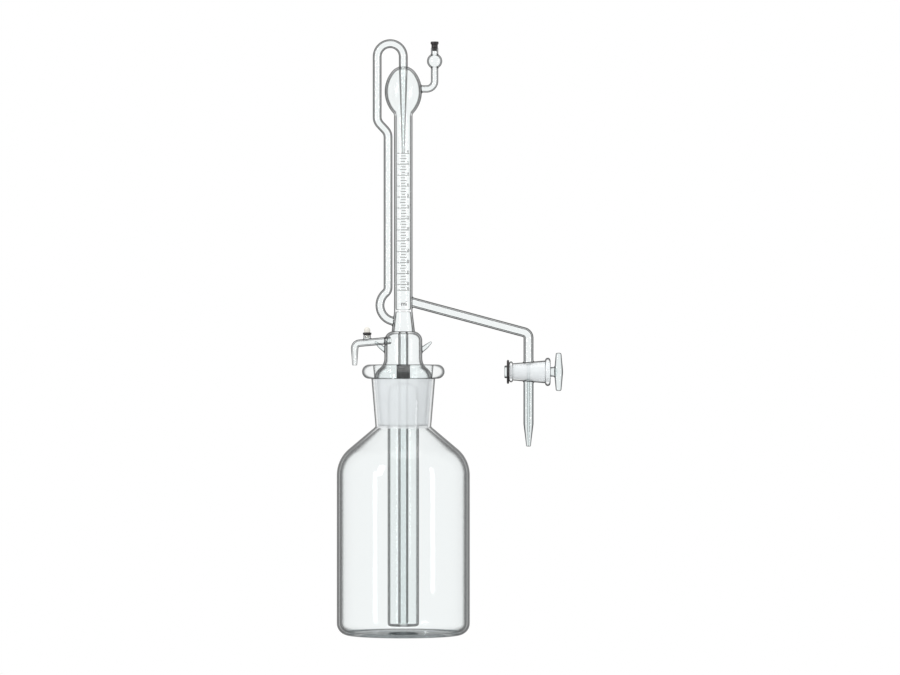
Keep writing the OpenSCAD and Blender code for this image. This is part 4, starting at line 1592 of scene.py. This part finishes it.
@dataclass(frozen=True)
class Nozzle:
    """Air nozzle on the bell, with its vent branch and cap."""

    bell: Bell
    turn: float = 18.0
    """Angle to the front, which takes the nozzle past the left hook."""
    diameter: float = 7.4
    wall: float = 1.3
    height: float = 37.9
    fall: float = 5.0
    root: float = 3.0
    """Distance off the bell at which the tube is clear of its fillet."""
    weld: float = 1.2
    inside: float = 5.5
    stub_gap: float = 0.5
    """Distance that the stub inside the bell stays short of the bell's outer wall."""
    reach: float = 50.8
    bend: float = 5.1
    tail: float = 17.0
    tip: float = 4.8
    taper_shares: tuple[float, ...] = (0.25, 0.5, 0.75, 0.96)
    branch: float = 37.8
    branch_height: float = 7.6
    branch_root: float = 2.0
    """Distance off the nozzle at which the branch is clear of its fillet."""
    cap_diameter: float = 6.2
    cap_height: float = 5.4
    cap_depth: float = 3.0
    cap_round: float = 0.5
    ring_diameter: float = 8.6
    ring_height: float = 2.3
    ring_round: float = 0.7
    ring_seen: float = 1.0
    """Height to which the ring's inside is modelled. Above it the cap fills it."""
    clearance: float = 0.1

    @property
    def r(self) -> float:
        """Outer radius of the nozzle."""
        return self.diameter / 2

    @property
    def rim(self) -> Rim:
        """Fire-polished end of the nozzle inside the bell, and of its branch."""
        return Rim(self.r, self.wall / 2)

    @property
    def plane(self) -> Plane:
        """Plane that the nozzle is bent in."""
        return Plane(180 + self.turn)

    @property
    def tail_top(self) -> float:
        """Height at which the tail begins.

        Returns:
            The height.
        """
        fall = math.radians(self.fall)
        elbow = self.reach - self.bend * (1 - math.sin(fall))
        return self.at(elbow) - self.bend * math.cos(fall)

    @property
    def branch_top(self) -> float:
        """Height of the branch's open end."""
        return self.at(self.branch) + self.branch_height

    def at(self, u: float) -> float:
        """Height of the nozzle's axis at distance u from the bell's axis."""
        run = u - self.bell.diameter / 2
        return self.bell.base + self.height - run * math.tan(math.radians(self.fall))

    def _run(self) -> Outline:
        """Works out the nozzle's run from beside the bell round its bend.

        Returns:
            Points of its axis outwards.
        """
        first = self.bell.diameter / 2 + self.root
        centre = (self.reach - self.bend, self.tail_top)
        return [(first, self.at(first)), *bent(centre, self.bend, 90 - self.fall, 0)]

    def _tail(self, inset: float) -> list[Station]:
        """Stations of the tapered tail down to its rim.

        Args:
            inset: Distance in from the outside, 0 or the wall.

        Returns:
            The stations downwards.
        """
        end, tip = self.tail_top - self.tail, self.tip / 2
        made = []
        for share in self.taper_shares:
            radius = self.r + (tip - self.r) * share - inset
            made.append((self.reach, self.tail_top - self.tail * share, radius))
        rim = Rim(tip, self.wall / 2).wall(inside=inset > 0)
        return made + [(self.reach, end + up, radius) for up, radius in rim[1:]]

    def _sealed(self, inside: bool) -> list[Station]:
        """Stations of the end inside the bell, from its rim outwards.

        Args:
            inside: Whether the inner wall is meant.

        Returns:
            The stations.
        """
        end = self.bell.diameter / 2 - self.inside
        rim = self.rim.wall(inside)[::-1]
        return [(end + back, self.at(end + back), radius) for back, radius in rim]

    def build(self, bell: BVHTree) -> None:
        """Makes the nozzle and its cap.

        Args:
            bell: Outer surface of the bell.
        """
        glass, bore = Finish.CAPILLARY, self.r - self.wall
        run, wall_u = self._run(), self.bell.diameter / 2 - self.stub_gap
        outer = even(run, self.r) + self._tail(0)
        inner = self._sealed(True) + even(run, bore) + self._tail(self.wall)
        stub = self._sealed(False) + [(wall_u, self.at(wall_u), self.r)]
        shape = Shape("air_nozzle_glass")
        shape.swept(outer, glass, self.plane, start=Seat(bell, self.weld))
        shape.swept(inner, glass, self.plane, inside=True)
        shape.swept(stub, glass, self.plane)
        self._branch(shape, glass, run)
        shape.piece(Body.HEAD, Slot.CLEAR, ["air_nozzle"])
        self._cap()

    def _branch(self, shape: Shape, glass: Finish, run: Outline) -> None:
        """Adds the vent branch.

        Args:
            shape: Shape of the nozzle.
            glass: Its finish.
            run: Axis of the nozzle.
        """
        nozzle = Shape("straight_run").swept(even(run[:2], self.r), glass, self.plane).guide()
        foot = self.at(self.branch) + self.r + self.branch_root
        for inside, seat in ((False, Seat(nozzle, self.weld)), (True, Seat(nozzle))):
            rim = self.rim.wall(inside)[::-1]
            stations = [(self.branch, self.branch_top - down, radius) for down, radius in rim]
            stations.append((self.branch, foot, self.r - self.wall * inside))
            shape.swept(stations, glass, self.plane, inside=inside, end=seat)

    def _cap(self) -> None:
        """Makes the cap of the branch and the ring under it."""
        place = Matrix.Translation(self.plane.at((self.branch, self.branch_top)))
        shank, half = self.r - self.wall - self.clearance, self.cap_diameter / 2
        wide, high = self.ring_diameter / 2, self.ring_height
        band = [(shank, self.ring_seen), (shank, 0), (wide, 0), (wide, high), (shank, high)]
        ring = Shape("vent_ring_rubber")
        black, pale = Finish.RUBBER, Finish.PALE_RUBBER
        ring.turned(rounded(band, self.ring_round), black, steps=Faces.SMALL, place=place)
        ring.piece(Body.CAP, Slot.BLACK, ["vent_ring"])
        dome = (0, high + self.cap_height - half)
        lower = [(0, -self.cap_depth), (shank, -self.cap_depth), (shank, high)]
        upper = [(shank, high), (half, high), (half, dome[1])]
        outline = rounded(lower, self.cap_round) + rounded(upper, self.cap_round)[1:]
        outline += arc(dome, half, 0, 90, step=6)[1:]
        cap = Shape("vent_cap_rubber").turned(outline, pale, steps=Faces.SMALL, place=place)
        cap.piece(Body.CAP, Slot.WHITE, ["vent_cap"])


@dataclass(frozen=True)
class Stopcock:
    """Delivery arm, stopcock and delivery jet."""

    measure: Measure
    arm_diameter: float = 10.0
    arm_wall: float = 1.4
    arm_root: float = 4.5
    """Distance off the graduated tube at which the arm is clear of its fillet."""
    fall: float = 15.0
    reach: float = 125.2
    root: float = 11.8
    bend: float = 6.0
    drop: float = 38.5
    weld: float = 1.4
    weld_reach: float = 2.5
    """Distance off the barrel at which arm and jet are clear of their fillets."""
    small_side: float = 19.3
    large_side: float = 22.0
    small_diameter: float = 17.2
    large_diameter: float = 22.8
    wall: float = 1.6
    small_bead: tuple[float, float] = (3.7, 1.9)
    """Width and height of the bead round the barrel's small end."""
    large_bead: tuple[float, float] = (5.5, 2.8)
    bead_turn: float = 75.0
    """Angle past the bead's top at which it runs into the barrel."""
    barrel_round: float = 1.6
    bevel: float = 0.4
    clearance: float = 0.04
    bore: float = 3.0
    key_end: float = 4.8
    key_round: float = 1.0
    face_round: float = 0.7
    neck_diameter: float = 9.6
    neck_foot_shares: tuple[tuple[float, float, float], ...] = (
        (0.0, 1.12, 1.1),
        (0.15, 1.06, 1.05),
        (0.45, 1.01, 1.0),
        (0.9, 1.0, 0.98),
    )
    """Rings at the neck's foot: distance from the key's face, then height and width as shares."""
    neck_flat_share: float = 0.8
    """Width of the neck's flat end as a share of its round one."""
    neck_widening_share: float = 0.1
    neck_start: float = 1.0
    """Distance from the key's face at which the neck's sides start for the handle."""
    neck_seam: float = 0.5
    """Distance off the neck at which the key's end face stops, under the neck's foot."""
    neck_spread: float = 1.5
    neck_turn: float = 84.0
    neck_rings: int = 7
    handle_off: float = 8.1
    handle_length: float = 38.1
    handle_diameter: float = 9.1
    handle_tip: float = 5.8
    handle_round: float = 1.8
    handle_ridge_round: float = 24.0
    washer_diameter: float = 24.0
    washer_thickness: float = 2.3
    washer_web: float = 0.45
    """Depth of the washer's thin web below its round edge."""
    washer_hub: float = 2.4
    washer_slope: float = 0.8
    washer_edge: float = 150.0
    """Angle of the washer's round edge to each side."""
    washer_clearance: float = 0.08
    groove: float = 0.9
    jet_diameter: float = 10.1
    jet_straight: float = 52.2
    jet_taper: float = 22.4
    jet_tip: float = 4.6
    jet_bore: float = 1.0

    @property
    def start(self) -> float:
        """Height of the arm's axis at the graduated tube's axis."""
        return self.measure.floor + self.root

    @property
    def corner(self) -> float:
        """Height at which the arm's two straight runs would meet."""
        return self.start - self.reach * math.tan(math.radians(self.fall))

    @property
    def axis(self) -> float:
        """Height of the stopcock's axis."""
        return self.corner - self.drop

    @property
    def place(self) -> Matrix:
        """Where the stopcock's own frame goes, whose Z runs along the barrel."""
        turned = Matrix.Rotation(QUARTER_TURN, 4, "Y")
        return Matrix.Translation((self.reach, 0, self.axis)) @ turned

    @property
    def washer_out(self) -> float:
        """Place of the washer's outer side in the stopcock's own frame."""
        return -self.small_side - self.washer_clearance - self.washer_thickness

    def barrel(self, x: float) -> float:
        """Half width of the barrel's tapered body.

        Args:
            x: Distance from the arm's axis.

        Returns:
            The half width.
        """
        small, large = self.small_bead[0] - self.small_side, self.large_side - self.large_bead[0]
        slope = (self.large_diameter - self.small_diameter) / (large - small) / 2
        return self.small_diameter / 2 + (x - small) * slope

    def plug(self, x: float) -> float:
        """Half width of the key's ground plug at distance x from the arm's axis."""
        return self.barrel(x) - self.wall - self.clearance

    def build(self, tube: BVHTree) -> None:
        """Makes the arm, the stopcock and the jet.

        Args:
            tube: Outer surface of the graduated tube.
        """
        barrel = self._barrel()
        self._arm(tube, barrel)
        self._jet(barrel)
        self._key()
        self._washer()

    def _barrel(self) -> BVHTree:
        """Makes the barrel with a bead round each end.

        Returns:
            Its outer surface.
        """
        (small_w, small_h), (large_w, large_h) = self.small_bead, self.large_bead
        small, large = -self.small_side, self.large_side
        small_r, large_r = self.small_diameter / 2, self.large_diameter / 2
        centre = (small_r + small_h - small_w / 2, small + small_w / 2)
        bead = arc(centre, small_w / 2, -90, self.bead_turn, step=8)
        centre = (large_r + large_h - large_w / 2, large - large_w / 2)
        collar = arc(centre, large_w / 2, -self.bead_turn, 90, step=8)
        body = [bead[-1], (small_r, small + small_w), (large_r, large - large_w), collar[0]]
        low = (self.barrel(small + self.bevel) - self.wall, small + self.bevel)
        high = (self.barrel(large - self.bevel) - self.wall, large - self.bevel)
        outside = [
            (low[0] + self.bevel, small),
            *bead,
            *rounded(body, self.barrel_round)[1:-1],
            *collar,
            (high[0] + self.bevel, large),
        ]
        inside = [outside[-1], high, low, outside[0]]
        shape, place = Shape("stopcock_barrel_glass"), self.place
        shape.turned(outside, Finish.TUBE, steps=Faces.BARREL, place=place)
        surface = shape.surface()
        shape.turned(inside, Finish.GREASED, steps=Faces.BARREL, place=place)
        shape.piece(Body.HEAD, Slot.CLEAR, ["stopcock_barrel"])
        return surface

    def _arm(self, tube: BVHTree, barrel: BVHTree) -> None:
        """Makes the delivery arm.

        Args:
            tube: Outer surface of the graduated tube.
            barrel: Outer surface of the barrel.
        """
        glass, r = Finish.CAPILLARY, self.arm_diameter / 2
        fall = math.radians(self.fall)
        tangent = self.bend * math.tan((QUARTER_TURN - fall) / 2)
        first = self.measure.diameter / 2 + self.arm_root
        centre = (self.reach - self.bend, self.corner - tangent)
        axis = [
            (first, self.start - first * math.tan(fall)),
            *bent(centre, self.bend, 90 - self.fall, 0),
            (self.reach, self.axis + self.barrel(0) + self.weld_reach),
        ]
        shape = Shape("delivery_arm_glass")
        outer, inner = even(axis, r), even(axis, r - self.arm_wall)
        shape.swept(outer, glass, start=Seat(tube, self.weld), end=Seat(barrel, self.weld))
        shape.swept(inner, glass, inside=True, start=Seat(tube), end=Seat(barrel))
        shape.piece(Body.HEAD, Slot.CLEAR, ["delivery_arm"])

    def _jet(self, barrel: BVHTree) -> None:
        """Makes the delivery jet, which narrows to its tip inside and out.

        Args:
            barrel: Outer surface of the barrel.
        """
        glass, r, tip = Finish.SOLID, self.jet_diameter / 2, self.jet_tip / 2
        start = self.axis - self.barrel(0) - self.weld_reach
        straight = self.axis - self.jet_straight
        end, tip_bore = straight - self.jet_taper, self.jet_bore / 2
        lip = (tip - tip_bore) / 2
        rim = Rim(tip, lip).wall()
        outer = [(self.reach, start, r), (self.reach, straight, r)]
        shape = Shape("delivery_jet_glass")
        shape.swept(outer + [(self.reach, end + up, radius) for up, radius in rim], glass)
        shape.swept(outer[::-1], glass, end=Seat(barrel, self.weld))
        inner = [
            (self.reach, start, self.bore / 2),
            (self.reach, straight, self.bore / 2),
            (self.reach, end + lip, tip_bore),
            (self.reach, end, tip - lip),
        ]
        shape.swept(inner, glass, inside=True, start=Seat(barrel))
        shape.piece(Body.HEAD, Slot.CLEAR, ["delivery_jet"])

    def _key(self) -> None:
        """Makes the key: tail with its groove, ground plug, cross bore, neck and handle."""
        ground, solid = Finish.GREASED, Finish.SOLID
        small, large, washer = -self.small_side, self.large_side, self.washer_out
        end, inner = small - self.key_end, washer + self.washer_thickness
        groove = self.plug(washer) - self.groove
        tail = [(0, end), (self.plug(end), end), (self.plug(washer), washer)]
        tail = rounded(tail, self.key_round)
        tail += [(groove, washer), (groove, inner), (self.plug(inner), inner)]
        rim_z = large - self.face_round
        rim = (self.plug(rim_z), rim_z)
        face = [rim, (self.plug(large), large), (self.neck_diameter / 2 + self.neck_seam, large)]
        shape = Shape("stopcock_key_glass")
        for outline, finish in (
            (tail, solid),
            ([tail[-1], rim], ground),
            # The end face takes the lighter painted edge shade of the bottle's base.
            (rounded(face, self.face_round), Finish.BASE),
        ):
            shape.turned(outline, finish, steps=Faces.BARREL, place=self.place)

        place = Matrix.Translation((self.reach + large + self.handle_off, 0, self.axis))
        handle = self._handle()
        shape.turned(handle, solid, steps=Faces.TUBE, place=place)
        guide = Shape("handle").turned(handle, solid, steps=Faces.TUBE, place=place)
        self._neck(shape, solid, guide.guide())

        plug = Shape("plug").turned(
            [(self.plug(small), small), (self.plug(large), large)],
            ground,
            steps=Faces.BARREL,
            place=self.place,
        )
        seat, hole = Seat(plug.guide()), self.bore / 2
        cross = [(self.reach, self.axis + z, hole) for z in (self.bore, -self.bore)]
        shape.swept(cross, solid, inside=True, start=seat, end=seat, sides=Faces.THIN)
        shape.piece(Body.KEY, Slot.CLEAR, ["stopcock_key"])

    def _handle(self) -> Outline:
        """Works out the handle, with the ridge round its middle softened.

        Returns:
            Points of its outline upwards.
        """
        half, tip = self.handle_length / 2, self.handle_tip / 2
        centre = (tip - self.handle_round, half - self.handle_round)
        arm = [*arc(centre, self.handle_round, 0, 90, step=12), (0, half)]
        mirrored = [(r, -z) for r, z in reversed(arm)]
        ridge = [mirrored[-1], (self.handle_diameter / 2, 0), arm[0]]
        soft = rounded(ridge, self.handle_ridge_round, step=0.8)
        return mirrored + soft[1:-1] + arm

    def _neck(self, shape: Shape, glass: Finish, handle: BVHTree) -> None:
        """Pulls the key's round neck out flat, so that it runs into the thinner handle.

        Args:
            shape: Shape of the key.
            glass: Its finish.
            handle: Surface of the handle.
        """
        radius = self.neck_diameter / 2
        rings = [self._oval(x, radius * up, radius * wide) for x, up, wide in self.neck_foot_shares]
        for k in range(self.neck_rings + 1):
            share = k / self.neck_rings
            turn = math.radians(self.neck_turn) * share
            lift = self.neck_spread * (1 - math.sin(turn))
            high = radius + self.neck_spread * (1 - math.cos(turn))
            wide = radius * (self.neck_flat_share + self.neck_widening_share * share)
            oval = self._oval(self.neck_start, high, wide)
            hits = [handle.ray_cast(p, Vector((1, 0, 0)))[0] or p for p in oval]
            rings.append([p - Vector((lift, 0, 0)) for p in hits])
        shape.drawn_out(rings, glass)

    def _oval(self, x: float, high: float, wide: float) -> list[Vector]:
        """Points of an oval round the stopcock's axis.

        Args:
            x: Its distance from the key's end face.
            high: Its half height.
            wide: Its half width.

        Returns:
            The points.
        """
        out = self.reach + self.large_side + x
        angles = [FULL_TURN * k / Faces.TUBE for k in range(Faces.TUBE)]
        return [Vector((out, wide * math.cos(a), self.axis + high * math.sin(a))) for a in angles]

    def _washer(self) -> None:
        """Makes the washer: a hub in the key's groove, a thin web and a round edge."""
        outer = self.washer_out
        inner = outer + self.washer_thickness
        groove, round_r = self.plug(outer) - self.groove, self.washer_thickness / 2
        centre = (self.washer_diameter / 2 - round_r, outer + round_r)
        hub = groove + self.washer_hub
        slope = hub + self.washer_slope
        outline = [
            (groove, outer),
            (hub, outer),
            (slope, outer + self.washer_web),
            *arc(centre, round_r, -self.washer_edge, self.washer_edge, step=12),
            (slope, inner - self.washer_web),
            (hub, inner),
            (groove, inner),
        ]
        shape, rubber = Shape("retaining_washer_rubber"), Finish.RUBBER
        shape.turned(outline, rubber, steps=Faces.BARREL, place=self.place)
        shape.piece(Body.KEY, Slot.BLACK, ["retaining_washer"])


# Surroundings


@dataclass(frozen=True)
class Lamp:
    """A soft lamp, in metres and watts."""

    name: str
    place: tuple[float, float, float]
    size: tuple[float, float]
    power: float

    def build(self, look_at: Vector) -> None:
        """Hangs the lamp.

        Args:
            look_at: Point that it shines on.
        """
        data = bpy.data.lights.new(self.name, "AREA")
        data.shape, data.size, data.size_y = "RECTANGLE", self.size[0], self.size[1]
        data.energy = self.power
        lamp = bpy.data.objects.new(self.name, data)
        lamp.location = self.place
        way = look_at - Vector(self.place)
        lamp.rotation_euler = way.to_track_quat("-Z", "Y").to_euler()
        bpy.context.scene.collection.objects.link(lamp)


@dataclass(frozen=True)
class Studio:
    """White backdrop, soft lights and the camera, in metres."""

    look_at: Vector = Vector((0.0467, 0.0, 0.2976))
    distance: float = 5.0
    lens: float = 200.0
    """Long, so that the view is as flat as the drawing's."""
    sensor: float = 36.0
    clip: tuple[float, float] = (0.1, 50.0)
    """Nearest and farthest that the camera sees."""
    lamps: tuple[Lamp, ...] = (
        Lamp("key_light", (-1.4, -1.6, 0.9), (0.35, 1.3), 20.0),
        Lamp("fill_light", (1.6, -1.2, 0.5), (0.25, 1.2), 7.0),
        Lamp("top_light", (0.1, -0.3, 2.0), (1.2, 1.2), 9.0),
    )
    room: tuple[float, float] = (0.6, 1.1)
    """Strength of the light from below and from above."""
    mirrored_room: tuple[float, float] = (0.3, 0.9)
    """The same as glass and rubber mirror it."""
    horizon: tuple[float, float] = (-0.7, 0.8)
    """Heights of view between which the room grows lighter."""
    glass_layers: int = 96
    """See-through surfaces that a line of sight may cross."""

    def build(self) -> None:
        """Sets up world, lights, camera and renderer."""
        self._world()
        for lamp in self.lamps:
            lamp.build(self.look_at)
        data = bpy.data.cameras.new("camera")
        data.lens, data.sensor_width = self.lens, self.sensor
        data.clip_start, data.clip_end = self.clip
        camera = bpy.data.objects.new("camera", data)
        camera.location = self.look_at + Vector((0, -self.distance, 0))
        camera.rotation_euler = (QUARTER_TURN, 0, 0)
        scene = bpy.context.scene
        scene.collection.objects.link(camera)
        scene.camera = camera
        scene.view_settings.view_transform = "Standard"
        scene.cycles.max_bounces = 16
        scene.cycles.glossy_bounces = 4
        scene.cycles.transparent_max_bounces = self.glass_layers

    def _world(self) -> None:
        """Makes a white backdrop to the camera and a room that is lighter above to the rest."""
        world = bpy.data.worlds.new("studio")
        bpy.context.scene.world = world
        nodes = NodeTree(world)
        path = nodes.add("ShaderNodeLightPath")
        way = nodes.add("ShaderNodeTexCoord").outputs["Generated"]
        height = nodes.add("ShaderNodeSeparateXYZ", {0: way}).outputs[2]
        shades = []
        for low, high in (self.room, self.mirrored_room):
            span = {"Value": height, "From Min": self.horizon[0], "From Max": self.horizon[1]}
            ramp = nodes.add("ShaderNodeMapRange", {**span, "To Min": low, "To Max": high})
            shade = nodes.add("ShaderNodeBackground", {"Color": ramp.outputs[0]})
            shades.append(shade.outputs[0])
        mirrored, seen = path.outputs["Is Glossy Ray"], path.outputs["Is Camera Ray"]
        room = nodes.add("ShaderNodeMixShader", {0: mirrored, 1: shades[0], 2: shades[1]})
        white = nodes.add("ShaderNodeBackground", {"Color": (1, 1, 1, 1)})
        both = nodes.add("ShaderNodeMixShader", {0: seen, 1: room.outputs[0], 2: white.outputs[0]})
        nodes.add("ShaderNodeOutputWorld", {"Surface": both.outputs[0]})


def corners() -> list[list[float]]:
    """Lowest and highest corner of what is shown, in metres."""
    return [list(v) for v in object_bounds()]


def main() -> None:
    """Builds the burette's looks and reports each piece."""
    logging.basicConfig(level=logging.INFO, format="%(name)s: %(message)s")
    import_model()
    before = {obj.name for obj in bpy.data.objects}
    bottle = Bottle()
    bottle.build()
    bell = Bell(bottle)
    bell_surface, stem_surface = bell.build()
    measure = Measure(bell.floor)
    tube_surface, bulb_surface = measure.build()
    Riser(measure, bell.stem_height).build(stem_surface)
    Guard(measure).build(bulb_surface)
    Nozzle(bell).build(bell_surface)
    Stopcock(measure).build(tube_surface)
    Studio().build()
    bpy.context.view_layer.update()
    for obj in bpy.data.objects:
        if obj.type == "MESH" and obj.name not in before:
            log.info("%s: %d faces", obj.name, len(obj.data.polygons))


if __name__ == "__main__":
    main()
